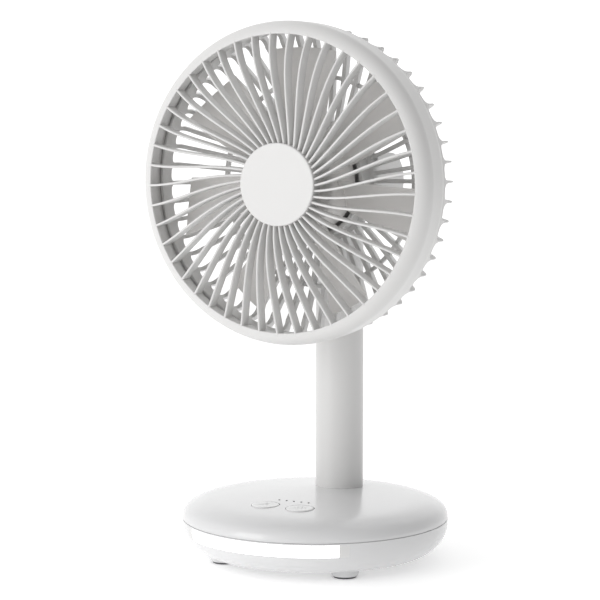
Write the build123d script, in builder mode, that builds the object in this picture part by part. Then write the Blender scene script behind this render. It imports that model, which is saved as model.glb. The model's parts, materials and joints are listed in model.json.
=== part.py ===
"""Cordless desk fan: domed base with a front light strip, a column, and a guarded head that tilts.

Millimetres. The origin is on the table under the centre of the base, +Z is up and the fan blows
towards -Y. Depths in the head are measured backwards from the front ring's inner edge.
"""
from build123d import *
import os
from math import asin, cos, degrees, radians, sin, sqrt

# ---------------------------------------------------------------- driving dimensions: places
HEAD_HEIGHT = 208.0         # fan axis above the table, and the tilt hinge's too
FACE_Y = -43.0              # front ring's inner edge, in front of the base centre
COLUMN_Y = 30.0             # column axis, behind the base centre
RUN = 0.05                  # radial clearance of shafts, pins and spigots
GAP = 0.3                   # least gap between casings that are pushed together by hand

# ---------------------------------------------------------------- driving dimensions: guards
GUARD_RADIUS = 79.0         # opening of the front ring
RING_WIDTH = 7.0            # from the opening to the outside of the ring
RING_DEPTH = 24.2
RING_NOSE = (2.3, 2.5)      # point on the ring's rounded front, in from its outside and back
RING_NOSE_END = 9.5         # depth where the round front ends
RING_TAIL_START = 18.5      # depth where the outside starts to draw in
RING_TAIL = (0.35, 21.5)
RING_TAIL_INSET = 1.3
RING_WALL = 1.8             # inner wall of the front ring
RING_WALL_DEPTH = 7.6
RING_SKIN = 2.6             # outer wall of the front ring
CHANNEL_DEPTH = 5.6         # floor of the hollow behind the ring's front
RIB_COUNT = 45
RIB_THICKNESS = 1.25
RIB_DEPTH = 7.2
RIB_PHASE = 5.4             # degrees, the first rib at the ring
RIB_SWIRL = 25.3            # degrees of sweep, were the ribs to reach the axis
RIB_SWIRL_POWER = 2.03
DOME_RISE = 4.9             # highest point of the ribs, in front of the ring's edge
DOME_RISE_INSET = 30.0      # that point, in from the ring's opening
RIB_HUB_RISE = 0.8          # the ribs where they meet the hub
CAP_RADIUS = 22.0
CAP_RISE = 2.0              # flat cap, in front of the ring's edge
CAP_THICKNESS = 1.6
CAP_SEAT_GAP = 0.15
CAP_PLUG_RADIUS = 18.6
CAP_PLUG_LENGTH = 3.0
BOSS_FLOOR = 1.8            # plate behind the cap
FIN_COUNT = 50
FIN_THICKNESS = 1.7
FIN_PHASE = 1.2             # degrees
REAR_INSET = 1.4            # the rear fins' outside, in from the ring's
REAR_STEP = 0.5             # gap between the ring's rear edge and the fins
REAR_SHOULDER_DEPTH = 36.0
REAR_CORNER = 3.2
REAR_CORNER_ROUND = 1.15    # radius of that corner's arc, as a share of its size
REAR_WALL = 5.4             # how deep the fins are, square to the surface
REAR_MID_INSET = 21.0       # point of the guard's back, in from the ring's opening
REAR_MID_DEPTH = 49.0
MOTOR_PLATE_DEPTH = 54.0    # back of the motor plate
MOTOR_PLATE_THICKNESS = 2.5
MOTOR_PLATE_RADIUS = 33.0
SKIRT_DEPTH = 17.0          # front of the rear guard's skirt, which slides into the ring
SKIRT_WALL = 1.6
SLOT_START_DEPTH = 26.8     # front end of the side slots
SLOT_END_RADIUS = 3.7
SLOT_END_FLAT = 0.2         # least flat left between the round corners
SLOT_HUB_RADIUS = 1.1
MID_RING_INSET = 21.5       # middle of the ring across the fins, in from the ring's opening
MID_RING_WIDTH = 2.2
MID_RING_THICKNESS = 3.0
POD_RADIUS = 31.0           # cup round the motor
POD_WALL = 2.4
POD_FRONT_DEPTH = 38.5

# ---------------------------------------------------------------- driving dimensions: rotor, motor
BLADE_COUNT = 7
BLADE_PHASE = -14.0         # degrees, the middle of the first blade
BLADE_TIP_GAP = 6.5         # between the blades' tips and the ring's opening
BLADE_THICKNESS = 1.5
BLADE_MID_DEPTH = 25.0
BLADE_ROOT_SIZE = (17.0, 19.0)      # along the turn, along the axis
BLADE_MIDDLE_SIZE = (25.0, 18.5)
BLADE_TIP_SIZE = (33.0, 17.0)
BLADE_CAMBER = 2.4
HUB_RADIUS = 27.0
HUB_WALL = 1.8
HUB_FRONT_DEPTH = 14.0
HUB_BACK_DEPTH = 37.5
HUB_BOSS_RADIUS = 4.0
HUB_BOSS_DEPTH = 26.0
MOTOR_RADIUS = 14.0
MOTOR_FRONT_DEPTH = 28.0
MOTOR_WALL = 1.2
MOTOR_END_THICKNESS = 3.0
SHAFT_RADIUS = 1.0
SHAFT_FRONT_DEPTH = 17.0
BUSH_RADIUS = 2.8
BUSH_LENGTH = 3.0
BUSH_HOUSING = 1.4
BUSH_HOLE_GAP = 1.0
ARMATURE_RADIUS = 9.4
ARMATURE_FRONT_DEPTH = 34.0
ARMATURE_LENGTH = 10.0
WINDING_OVERHANG = 1.6
AIR_GAP = 0.8
MAGNET_SPACE = 5.0          # between the two magnets
SLOT_PLACE = 0.58           # middle of the armature's slots, as a share of its radius
SLOT_REACH = 0.62           # length of the slots, likewise
SLOT_WIDTH = 3.6
TOOTH_GAP = (0.7, 1.4)      # opening of the slots at the rim: reach as a share, and width
WIRE_GAP = 0.1
COMMUTATOR_RADIUS = 2.8
COMMUTATOR_LENGTH = 2.2
BRUSH_LENGTH = 3.0
BRUSH_WIDTH = 2.0
MOTOR_SCREW_SPACING = 16.0
MOTOR_SCREW_RADIUS = 1.25
MOTOR_SCREW_HEAD_RADIUS = 2.4
MOTOR_SCREW_HEAD = 1.2

# ---------------------------------------------------------------- driving dimensions: hinge, column
HINGE_RADIUS = 15.5
HINGE_HALF = 32.5           # half the length of the whole hinge barrel
KNUCKLE_HALF = 13.0         # half the width of the knuckle on the column
WASHER_GAP = 0.3
WASHER_RADIUS = 10.0
WASHER_THICKNESS = 0.8
PIN_RADIUS = 2.5
PIN_HEAD_RADIUS = 4.6
PIN_HEAD = 3.0
PIN_SEAT = 24.0             # bottom of the recesses in the barrel's ends
PIN_RECESS_RADIUS = 9.0
END_CAP_RADIUS = 11.0
END_CAP_THICKNESS = 2.0
BRACKET_RADIUS = 28.0
BRACKET_THICKNESS = 2.0
BRACKET_SCREW_X = 8.0
BRACKET_SCREW_Z = 22.0
BRACKET_SCREW_RADIUS = 1.3
BRACKET_SCREW_HEAD_RADIUS = 2.5
BRACKET_SCREW_HEAD = 1.0
COLUMN_RADIUS = 13.4
COLUMN_WALL = 1.8
KNUCKLE_DROP = 18.0         # top of the tube below the hinge
COLUMN_SINK = 6.0           # the tube's foot below the middle of the base's top
SPIGOT_LENGTH = 16.0
LEAD_RADIUS = 1.6
LEAD_CHANNEL_RADIUS = 3.0
LEAD_DROP = 11.0            # top of the lead below the hinge
LEAD_FOOT = 22.0
FLANGE_MARGIN = 7.1         # the flange's rim beyond the tube
FLANGE_THICKNESS = 3.0
FLANGE_SPIGOT_LENGTH = 14.0
COLUMN_SCREW_OFFSET = 3.6   # the screws' circle beyond the tube
COLUMN_SCREW_RADIUS = 1.3
COLUMN_SCREW_HEAD_RADIUS = 2.4
COLUMN_SCREW_HEAD = 1.6
COLUMN_BOSS_RADIUS = 2.8
COLUMN_SCREW_REACH = 2.4    # thread above the flange

# ---------------------------------------------------------------- driving dimensions: base
BASE_RADIUS = 73.5
BASE_FLOOR = 3.9            # underside of the lower shell
BASE_TURN = 17.1            # round edge of the lower shell
BASE_WALL = 2.2
SEAM_HEIGHT = 22.6
SEAM_GROOVE = (0.7, 0.5)    # depth and height of the line between the shells
LIP_WIDTH = 1.6
LIP_DROP = 2.0
LIP_GAP = 0.1
CROWN_HEIGHT = 35.5         # middle of the domed top
CROWN_DROP = 1.5            # from the middle of the top to where the dome meets the shoulder
CROWN_INSET = 23.2          # that edge, in from the base's rim
SHOULDER_DROP = 4.7         # fullest point of the shoulder, below the middle of the top
SHOULDER_INSET = 5.7
STRIP_LOW = 15.2
STRIP_HIGH = 21.9
STRIP_HALF_ANGLE = 41.5     # degrees each side of the front
STRIP_FLANGE = 1.4
STRIP_FLANGE_THICKNESS = 1.4
LIGHT_BOARD_INSET = 8.0     # the lamps' board, in from the base's rim
LIGHT_BOARD_HEIGHT = (13.0, 21.5)
LIGHT_BOARD_HALF_ANGLE = 38.0
LED_MARGIN = 3.0            # degrees from the board's end to the last lamp
LIGHT_LEDGE_HALF_WIDTH = 1.3
LIGHT_LEDGE_FOOT = 8.3
BOARD_THICKNESS = 1.6
LED_COUNT = 9
LED_SIZE = (3.0, 1.0, 2.8)
FOOT_SPACING = 74.0         # between feet, both ways
FOOT_RADIUS = 6.3
FOOT_THICKNESS = 2.4
FOOT_BOSS_RADIUS = 8.0
FOOT_BOSS_TAPER = 12.0      # degrees
FOOT_BOSS_HEIGHT = 1.2      # lower face of the bosses above the table
BASE_SCREW_RADIUS = 1.5
BASE_SCREW_HEAD_RADIUS = 2.9
BASE_SCREW_HEAD = 2.0
BASE_SCREW_TOP = 26.0
BASE_BOSS_RADIUS = 4.2
BASE_BOSS_SPLIT = 17.0      # where the bosses of the two shells meet
BUTTON_RADIUS = 7.5
BUTTON_SPACING = 21.0
BUTTON_Y = -38.0
BUTTON_GAP = 0.35
BUTTON_DROP = 0.6           # top of the buttons below the middle of the base's top
BUTTON_FLANGE = 1.1
BUTTON_FLANGE_DROP = 3.8
BUTTON_FLANGE_THICKNESS = 1.0
BUTTON_STEM = (2.0, 0.4)    # radius and length
BUTTON_ROUND = 0.5
BUTTON_ICON_DEPTH = 0.25
PETAL_COUNT = 3
PETAL_SIZE = (1.9, 1.0)     # half axes
PETAL_CIRCLE = 2.1
PETAL_HUB_RADIUS = 0.7
SUN_RADII = (1.7, 1.2)
RAY_COUNT = 8
RAY_CIRCLE = 3.1
RAY_SIZE = (1.4, 0.5)
DOT_COUNT = 5
DOT_PITCH = 4.5
DOT_RADIUS = 0.6
DOT_Y = -25.0
DOT_LENGTH = 4.0
BOARD_SIZE = (48.0, 38.0)
BOARD_Y = -37.0
BOARD_DROP = 11.5           # the board's underside below the middle of the base's top
BOARD_POST_SPACING = (41.0, 30.0)
BOARD_POST_RADIUS = 2.2
BOARD_SCREW_RADIUS = 1.0
BOARD_SCREW_HEAD_RADIUS = 1.9
BOARD_SCREW_HEAD = 1.2
BOARD_SCREW_REACH = 4.0
CHIP_SIZE = 7.0
CHIP_HEIGHT = 1.4
COIL_SIZE = (5.0, 4.0)
COIL_PLACE = (14.0, 6.0)    # from the board's middle
DOT_LED_SIZE = 1.6
DOT_LED_HEIGHT = 0.8
SWITCH_SIZE = (6.0, 6.0, 3.0)
SWITCH_KEY = (1.6, 0.6)     # radius and height of the switch's key
CELL_RADIUS = 9.2
CELL_LENGTH = 65.0
CELL_Y = -4.5
TRAY_FLOOR = 1.2
TRAY_WALL = 1.5
TRAY_WALL_HEIGHT = 11.0
TRAY_GAP = 0.25
BALLAST_INSET = 29.5        # in from the base's rim
BALLAST_THICKNESS = 3.0
SOCKET_WIDTH = 9.0
SOCKET_HEIGHT = 3.2
SOCKET_WALL = 0.35
SOCKET_LENGTH = 7.5
SOCKET_INSET = 0.6          # the socket's mouth, in from the base's rim
SOCKET_Z = 17.4
SOCKET_GAP = 0.2
SOCKET_TONGUE = (6.6, 0.7, 4.5)
CHARGE_BOARD_SIZE = (17.0, 10.0)
CHARGE_BOARD_INSET = 4.3    # board's edge behind the socket's mouth
CHARGE_POST_RADIUS = 2.0
CHARGE_POST_SPACING = 11.0
CHARGE_POST_FOOT = 7.0

# ---------------------------------------------------------------- sizes that follow from these
RING_RADIUS = GUARD_RADIUS + RING_WIDTH
DOME_RISE_RADIUS = GUARD_RADIUS - DOME_RISE_INSET
REAR_RADIUS = RING_RADIUS - REAR_INSET
REAR_MID_RADIUS = GUARD_RADIUS - REAR_MID_INSET
MID_RING_RADIUS = GUARD_RADIUS - MID_RING_INSET
BLADE_TIP_RADIUS = GUARD_RADIUS - BLADE_TIP_GAP
COLUMN_TOP = HEAD_HEIGHT - KNUCKLE_DROP
COLUMN_FOOT = CROWN_HEIGHT - COLUMN_SINK
FLANGE_RADIUS = COLUMN_RADIUS + FLANGE_MARGIN
COLUMN_SCREW_CIRCLE = COLUMN_RADIUS + COLUMN_SCREW_OFFSET
LEAD_TOP = HEAD_HEIGHT - LEAD_DROP
CROWN_EDGE = (BASE_RADIUS - CROWN_INSET, CROWN_HEIGHT - CROWN_DROP)
SHOULDER = (BASE_RADIUS - SHOULDER_INSET, CROWN_HEIGHT - SHOULDER_DROP)
LIGHT_BOARD_RADIUS = BASE_RADIUS - LIGHT_BOARD_INSET
BUTTON_TOP = CROWN_HEIGHT - BUTTON_DROP
BUTTON_FLANGE_TOP = CROWN_HEIGHT - BUTTON_FLANGE_DROP
BALLAST_RADIUS = BASE_RADIUS - BALLAST_INSET
SOCKET_FACE_Y = BASE_RADIUS - SOCKET_INSET
BOARD_UNDERSIDE = CROWN_HEIGHT - BOARD_DROP

os.makedirs("parts", exist_ok=True)


# ---------------------------------------------------------------- shared geometry
def behind(depth):
    """Plane across the fan axis, at a depth behind the front ring's edge, facing forward."""
    return Plane(origin=(0, FACE_Y + depth, HEAD_HEIGHT), x_dir=(1, 0, 0), z_dir=(0, -1, 0))


def level(height, x=0.0, y=0.0):
    """Horizontal plane at a height above the table, with its origin over a point."""
    return Plane(origin=(x, y, height))


def section_at(angle):
    """Upright plane through the base's axis, its own x pointing outward at an angle in degrees."""
    out = (cos(radians(angle)), sin(radians(angle)), 0)
    return Plane(origin=(0, 0, 0), x_dir=out, z_dir=(out[1], -out[0], 0))


def hinge_plane(x):
    """Plane across the hinge pin at a distance along it, with local x backward and y up."""
    return Plane(origin=(x, COLUMN_Y, HEAD_HEIGHT), x_dir=(0, 1, 0), z_dir=(1, 0, 0))


def disc(plane, radius, hole=0.0):
    """Round face, or a ring where a hole is given."""
    with BuildSketch(plane) as face:
        Circle(radius)
        if hole > 0:
            Circle(hole, mode=Mode.SUBTRACT)
    return face.sketch


def block(plane, width, depth):
    """Rectangular face centred on a plane."""
    with BuildSketch(plane) as face:
        Rectangle(width, depth)
    return face.sketch


def save(builder, name):
    """Label a finished piece and write it."""
    builder.part.label = name
    export_step(builder.part, f"parts/{name}.step")


HEAD_SECTION = Plane(origin=(0, FACE_Y, HEAD_HEIGHT), x_dir=(1, 0, 0), z_dir=(0, 0, 1))
FAN_AXIS = Axis((0, FACE_Y, HEAD_HEIGHT), (0, 1, 0))
hinge_depth = COLUMN_Y - FACE_Y
ear_start = KNUCKLE_HALF + WASHER_GAP + WASHER_THICKNESS
plate_front_depth = MOTOR_PLATE_DEPTH - MOTOR_PLATE_THICKNESS


# ---------------------------------------------------------------- front guard
def rib_side(radius, side):
    """Point on one side of a swept rib, side being 1 or -1, on a plane across the fan axis."""
    inward = max(0.0, 1 - radius / GUARD_RADIUS)
    turn = radians(-RIB_SWIRL * inward**RIB_SWIRL_POWER)
    half = side * RIB_THICKNESS / 2
    return (radius * cos(turn) - half * sin(turn), radius * sin(turn) + half * cos(turn))


cap_back_depth = CAP_THICKNESS - CAP_RISE
boss_back_depth = RIB_DEPTH - RIB_HUB_RISE
rib_outer = GUARD_RADIUS + RING_WALL / 2
rib_inner = CAP_RADIUS - 1.0
rib_radii = [rib_inner + (rib_outer - rib_inner) * step / 5 for step in range(6)]

with BuildPart() as rib:
    with BuildSketch(Plane.XY.offset(-RIB_DEPTH)):
        with BuildLine():
            left = Spline(*[rib_side(radius, 1) for radius in rib_radii])
            right = Spline(*[rib_side(radius, -1) for radius in rib_radii])
            Line(left @ 0, right @ 0)
            Line(left @ 1, right @ 1)
        make_face()
    extrude(amount=RIB_DEPTH + DOME_RISE + 1)
    with BuildSketch(Plane.XZ):
        with BuildLine():
            Polyline((GUARD_RADIUS, 0), (rib_outer, 0), (rib_outer, -RIB_DEPTH), (GUARD_RADIUS, -RIB_DEPTH))
            ThreePointArc(
                (GUARD_RADIUS, -RIB_DEPTH),
                (DOME_RISE_RADIUS, DOME_RISE - RIB_DEPTH),
                (CAP_RADIUS, RIB_HUB_RISE - RIB_DEPTH),
            )
            Polyline(
                (CAP_RADIUS, RIB_HUB_RISE - RIB_DEPTH),
                (rib_inner - 1, RIB_HUB_RISE - RIB_DEPTH),
                (rib_inner - 1, RIB_HUB_RISE),
                (CAP_RADIUS, RIB_HUB_RISE),
            )
            ThreePointArc((CAP_RADIUS, RIB_HUB_RISE), (DOME_RISE_RADIUS, DOME_RISE), (GUARD_RADIUS, 0))
        make_face()
    revolve(axis=Axis.Z, mode=Mode.INTERSECT)

with BuildPart(behind(0)) as front_guard:
    with BuildSketch(HEAD_SECTION):
        with BuildLine():
            ring_skin_inner = RING_RADIUS - RING_SKIN
            nose = (RING_RADIUS - RING_NOSE[0], RING_NOSE[1])
            tail = (RING_RADIUS - RING_TAIL[0], RING_TAIL[1])
            rear_edge = (RING_RADIUS - RING_TAIL_INSET, RING_DEPTH)
            ThreePointArc((GUARD_RADIUS, 0), nose, (RING_RADIUS, RING_NOSE_END))
            Line((RING_RADIUS, RING_NOSE_END), (RING_RADIUS, RING_TAIL_START))
            ThreePointArc((RING_RADIUS, RING_TAIL_START), tail, rear_edge)
            Polyline(
                rear_edge,
                (ring_skin_inner, RING_DEPTH),
                (ring_skin_inner, CHANNEL_DEPTH),
                (GUARD_RADIUS + RING_WALL, CHANNEL_DEPTH),
                (GUARD_RADIUS + RING_WALL, RING_WALL_DEPTH),
                (GUARD_RADIUS, RING_WALL_DEPTH),
                (GUARD_RADIUS, 0),
            )
        make_face()
    revolve(axis=FAN_AXIS)
    extrude(disc(behind(boss_back_depth), CAP_RADIUS, CAP_PLUG_RADIUS + CAP_SEAT_GAP),
            amount=boss_back_depth - cap_back_depth)
    extrude(disc(behind(boss_back_depth), CAP_RADIUS), amount=BOSS_FLOOR)
    with PolarLocations(0, RIB_COUNT, start_angle=RIB_PHASE):
        add(rib.part)
    cap_seat = disc(behind(cap_back_depth), CAP_RADIUS + CAP_SEAT_GAP)
    extrude(cap_seat, amount=2 * CAP_THICKNESS, mode=Mode.SUBTRACT)

save(front_guard, "front_guard")

with BuildPart() as centre_cap:
    extrude(disc(behind(cap_back_depth), CAP_RADIUS), amount=CAP_THICKNESS)
    fillet(centre_cap.edges().filter_by(GeomType.CIRCLE).sort_by(Axis.Y)[0], radius=0.7)
    extrude(disc(behind(cap_back_depth + CAP_PLUG_LENGTH), CAP_PLUG_RADIUS, CAP_PLUG_RADIUS - 1.4),
            amount=CAP_PLUG_LENGTH)

save(centre_cap, "centre_cap")


# ---------------------------------------------------------------- rear guard
def slot_corner(radius, side):
    """Corner of the space between two fins whose middle lies along local x."""
    half_pitch = radians(180 / FIN_COUNT)
    half = FIN_THICKNESS / 2
    along = radius * cos(half_pitch) + half * sin(half_pitch)
    across = radius * sin(half_pitch) - half * cos(half_pitch)
    return (along, side * across)


def slot_face(depth, inner, outer):
    """Space between two fins, from one radius to another, at a depth on local axes."""
    corners = [slot_corner(inner, 1), slot_corner(outer, 1), slot_corner(outer, -1), slot_corner(inner, -1)]
    with BuildSketch(Plane.XY.offset(-depth)) as face:
        Polygon(*corners, align=None)
    return face.sketch


slot_outer = REAR_RADIUS + 4
side_slot_inner = GUARD_RADIUS - 4
side_slot_back = REAR_SHOULDER_DEPTH - 2
back_slot_inner = MOTOR_PLATE_RADIUS + 0.5
skirt_outer = RING_RADIUS - RING_SKIN - GAP
skirt_inner = skirt_outer - SKIRT_WALL
fins_front = RING_DEPTH + REAR_STEP
corner_depth = REAR_SHOULDER_DEPTH + REAR_CORNER

slot_end = min(SLOT_END_RADIUS, slot_corner(side_slot_inner, 1)[1] - SLOT_END_FLAT / 2)
slot_hub_end = min(SLOT_HUB_RADIUS, slot_corner(back_slot_inner, 1)[1] - SLOT_END_FLAT / 2)

with BuildPart() as guard_slot:
    extrude(slot_face(side_slot_back, side_slot_inner, slot_outer), amount=side_slot_back - SLOT_START_DEPTH)
    front_face = guard_slot.faces().sort_by(Axis.Z)[-1]
    fillet(front_face.edges().filter_by(lambda edge: edge.length > 5 and abs(edge.tangent_at(0.5).X) > 0.9),
           radius=slot_end)
    extrude(slot_face(MOTOR_PLATE_DEPTH + 3, back_slot_inner, slot_outer),
            amount=MOTOR_PLATE_DEPTH + 3 - side_slot_back)
    fillet(guard_slot.edges().filter_by(Axis.Z).group_by(Axis.X)[0], radius=slot_hub_end)

with BuildPart(behind(0)) as rear_guard:
    with BuildSketch(HEAD_SECTION):
        with BuildLine():
            Polyline(
                (skirt_inner, SKIRT_DEPTH),
                (skirt_outer, SKIRT_DEPTH),
                (skirt_outer, fins_front),
                (REAR_RADIUS, fins_front),
                (REAR_RADIUS, REAR_SHOULDER_DEPTH),
            )
            rear_shoulder = (REAR_RADIUS, REAR_SHOULDER_DEPTH)
            rear_corner = (REAR_RADIUS - REAR_CORNER, corner_depth)
            RadiusArc(rear_shoulder, rear_corner, REAR_CORNER * REAR_CORNER_ROUND)
            ThreePointArc(
                (REAR_RADIUS - REAR_CORNER, corner_depth),
                (REAR_MID_RADIUS, REAR_MID_DEPTH),
                (MOTOR_PLATE_RADIUS, MOTOR_PLATE_DEPTH),
            )
            Polyline(
                (MOTOR_PLATE_RADIUS, MOTOR_PLATE_DEPTH),
                (0, MOTOR_PLATE_DEPTH),
                (0, plate_front_depth),
                (POD_RADIUS - POD_WALL, plate_front_depth),
                (POD_RADIUS - POD_WALL, POD_FRONT_DEPTH),
                (POD_RADIUS, POD_FRONT_DEPTH),
                (POD_RADIUS, MOTOR_PLATE_DEPTH - REAR_WALL),
            )
            ThreePointArc(
                (POD_RADIUS, MOTOR_PLATE_DEPTH - REAR_WALL),
                (REAR_MID_RADIUS - 1.5, REAR_MID_DEPTH - REAR_WALL),
                (GUARD_RADIUS - 2, corner_depth - REAR_WALL + 0.8),
            )
            Polyline(
                (GUARD_RADIUS - 2, corner_depth - REAR_WALL + 0.8),
                (skirt_inner, REAR_SHOULDER_DEPTH - REAR_WALL + 0.6),
                (skirt_inner, SKIRT_DEPTH),
            )
        make_face()
    revolve(axis=FAN_AXIS)
    with PolarLocations(0, FIN_COUNT, start_angle=FIN_PHASE + 180 / FIN_COUNT):
        add(guard_slot.part, mode=Mode.SUBTRACT)
    mid_ring_back = REAR_MID_DEPTH - 0.2
    mid_ring_inner = MID_RING_RADIUS - MID_RING_WIDTH / 2
    mid_ring = disc(behind(mid_ring_back), mid_ring_inner + MID_RING_WIDTH, mid_ring_inner)
    extrude(mid_ring, amount=MID_RING_THICKNESS)
    bush_hole = disc(behind(MOTOR_PLATE_DEPTH), BUSH_RADIUS + BUSH_HOLE_GAP)
    extrude(bush_hole, amount=MOTOR_PLATE_THICKNESS, mode=Mode.SUBTRACT)
    with BuildSketch(behind(MOTOR_PLATE_DEPTH)):
        with GridLocations(MOTOR_SCREW_SPACING, 1, 2, 1):
            Circle(MOTOR_SCREW_HEAD_RADIUS)
    extrude(amount=MOTOR_SCREW_HEAD, mode=Mode.SUBTRACT)
    with BuildSketch(behind(MOTOR_PLATE_DEPTH)):
        with GridLocations(MOTOR_SCREW_SPACING, 1, 2, 1):
            Circle(MOTOR_SCREW_RADIUS)
        with GridLocations(2 * BRACKET_SCREW_X, 2 * BRACKET_SCREW_Z, 2, 2):
            Circle(BRACKET_SCREW_RADIUS)
    extrude(amount=MOTOR_PLATE_THICKNESS, mode=Mode.SUBTRACT)

save(rear_guard, "rear_guard")


# ---------------------------------------------------------------- rotor
def blade_section(radius, size):
    """Cambered strip across a blade at a radius, on local axes with z forward."""
    width, depth = size
    chord = sqrt(width**2 + depth**2)
    out = (depth / chord, -width / chord)
    middle = BLADE_CAMBER
    thick = BLADE_THICKNESS
    plane = Plane(origin=(radius, 0, 0), x_dir=(0, 1, 0), z_dir=(1, 0, 0))
    low = (-width / 2, -depth / 2)
    high = (width / 2, depth / 2)
    low_back = (low[0] + out[0] * thick / 2, low[1] + out[1] * thick / 2)
    high_back = (high[0] + out[0] * thick / 2, high[1] + out[1] * thick / 2)
    low_front = (low[0] - out[0] * thick / 2, low[1] - out[1] * thick / 2)
    high_front = (high[0] - out[0] * thick / 2, high[1] - out[1] * thick / 2)
    crown_back = (out[0] * (middle + thick / 2), out[1] * (middle + thick / 2))
    crown_front = (out[0] * (middle - thick / 2), out[1] * (middle - thick / 2))
    with BuildSketch(plane) as face:
        with BuildLine():
            ThreePointArc(low_back, crown_back, high_back)
            Line(high_back, high_front)
            ThreePointArc(high_front, crown_front, low_front)
            Line(low_front, low_back)
        make_face()
    return face.sketch


blade_root = HUB_RADIUS - HUB_WALL / 2
blade_middle = (blade_root + BLADE_TIP_RADIUS) / 2

with BuildPart() as blade:
    loft(
        sections=[
            blade_section(blade_root, BLADE_ROOT_SIZE),
            blade_section(blade_middle, BLADE_MIDDLE_SIZE),
            blade_section(BLADE_TIP_RADIUS + 3, BLADE_TIP_SIZE),
        ]
    )
    Cylinder(BLADE_TIP_RADIUS, 4 * BLADE_MID_DEPTH, mode=Mode.INTERSECT)

with BuildPart(behind(BLADE_MID_DEPTH)) as fan_blades:
    extrude(disc(behind(HUB_BACK_DEPTH), HUB_RADIUS), amount=HUB_BACK_DEPTH - HUB_FRONT_DEPTH)
    fillet(fan_blades.edges().filter_by(GeomType.CIRCLE).sort_by(Axis.Y)[0], radius=3.0)
    extrude(disc(behind(HUB_BACK_DEPTH), HUB_RADIUS - HUB_WALL, HUB_BOSS_RADIUS),
            amount=HUB_BACK_DEPTH - HUB_FRONT_DEPTH - 2 * HUB_WALL, mode=Mode.SUBTRACT)
    extrude(disc(behind(HUB_BACK_DEPTH), HUB_BOSS_RADIUS + 0.5),
            amount=HUB_BACK_DEPTH - HUB_BOSS_DEPTH, mode=Mode.SUBTRACT)
    with PolarLocations(0, BLADE_COUNT, start_angle=BLADE_PHASE):
        add(blade.part)
    shaft_bore = disc(behind(HUB_BACK_DEPTH), SHAFT_RADIUS)
    extrude(shaft_bore, amount=HUB_BACK_DEPTH - SHAFT_FRONT_DEPTH, mode=Mode.SUBTRACT)

save(fan_blades, "fan_blades")

armature_back = ARMATURE_FRONT_DEPTH + ARMATURE_LENGTH
end_cap_front = plate_front_depth - MOTOR_END_THICKNESS
commutator_back = end_cap_front - 0.4
shaft_back = plate_front_depth - 0.3

with BuildPart() as motor_shaft:
    extrude(disc(behind(shaft_back), SHAFT_RADIUS), amount=shaft_back - SHAFT_FRONT_DEPTH)

save(motor_shaft, "motor_shaft")

with BuildPart() as armature_core:
    extrude(disc(behind(armature_back), ARMATURE_RADIUS, SHAFT_RADIUS), amount=ARMATURE_LENGTH)
    with BuildSketch(behind(armature_back)):
        with PolarLocations(ARMATURE_RADIUS * SLOT_PLACE, 3, start_angle=30):
            SlotOverall(ARMATURE_RADIUS * SLOT_REACH, SLOT_WIDTH, rotation=90)
        with PolarLocations(ARMATURE_RADIUS, 3, start_angle=30):
            Rectangle(ARMATURE_RADIUS * TOOTH_GAP[0], TOOTH_GAP[1])
    extrude(amount=ARMATURE_LENGTH, mode=Mode.SUBTRACT)

save(armature_core, "armature_core")

with BuildPart() as armature_windings:
    with BuildSketch(behind(armature_back + WINDING_OVERHANG)):
        with PolarLocations(ARMATURE_RADIUS * SLOT_PLACE, 3, start_angle=30):
            SlotOverall(ARMATURE_RADIUS * SLOT_REACH - WIRE_GAP, SLOT_WIDTH - WIRE_GAP, rotation=90)
    extrude(amount=ARMATURE_LENGTH + 2 * WINDING_OVERHANG)

save(armature_windings, "armature_windings")

with BuildPart() as commutator:
    extrude(disc(behind(commutator_back), COMMUTATOR_RADIUS, SHAFT_RADIUS), amount=COMMUTATOR_LENGTH)

save(commutator, "commutator")

# ---------------------------------------------------------------- motor
with BuildPart() as motor_can:
    extrude(disc(behind(plate_front_depth), MOTOR_RADIUS), amount=plate_front_depth - MOTOR_FRONT_DEPTH)
    fillet(motor_can.edges().filter_by(GeomType.CIRCLE).sort_by(Axis.Y)[0], radius=1.0)
    extrude(disc(behind(plate_front_depth), MOTOR_RADIUS - MOTOR_WALL),
            amount=plate_front_depth - MOTOR_FRONT_DEPTH - MOTOR_WALL, mode=Mode.SUBTRACT)
    front_bush_back = behind(MOTOR_FRONT_DEPTH + BUSH_LENGTH)
    extrude(disc(front_bush_back, BUSH_RADIUS + BUSH_HOUSING), amount=BUSH_LENGTH)
    extrude(disc(front_bush_back, BUSH_RADIUS), amount=BUSH_LENGTH, mode=Mode.SUBTRACT)

save(motor_can, "motor_can")

with BuildPart() as motor_magnets:
    magnet_outer = MOTOR_RADIUS - MOTOR_WALL
    magnet_inner = ARMATURE_RADIUS + AIR_GAP
    extrude(disc(behind(armature_back + 1), magnet_outer, magnet_inner), amount=ARMATURE_LENGTH + 2)
    magnet_split = block(behind(armature_back + 2), MAGNET_SPACE, 4 * MOTOR_RADIUS)
    extrude(magnet_split, amount=ARMATURE_LENGTH + 4, mode=Mode.SUBTRACT)

save(motor_magnets, "motor_magnets")

with BuildPart() as motor_end_cap:
    end_face = disc(behind(plate_front_depth), MOTOR_RADIUS - MOTOR_WALL, BUSH_RADIUS)
    extrude(end_face, amount=MOTOR_END_THICKNESS)
    with BuildSketch(behind(plate_front_depth)):
        with GridLocations(MOTOR_SCREW_SPACING, 1, 2, 1):
            Circle(MOTOR_SCREW_RADIUS)
    extrude(amount=MOTOR_END_THICKNESS - 0.4, mode=Mode.SUBTRACT)

save(motor_end_cap, "motor_end_cap")

with BuildPart() as motor_bushings:
    bush_bore = SHAFT_RADIUS + RUN
    extrude(disc(front_bush_back, BUSH_RADIUS, bush_bore), amount=BUSH_LENGTH)
    extrude(disc(behind(plate_front_depth), BUSH_RADIUS, bush_bore), amount=MOTOR_END_THICKNESS)

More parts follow.
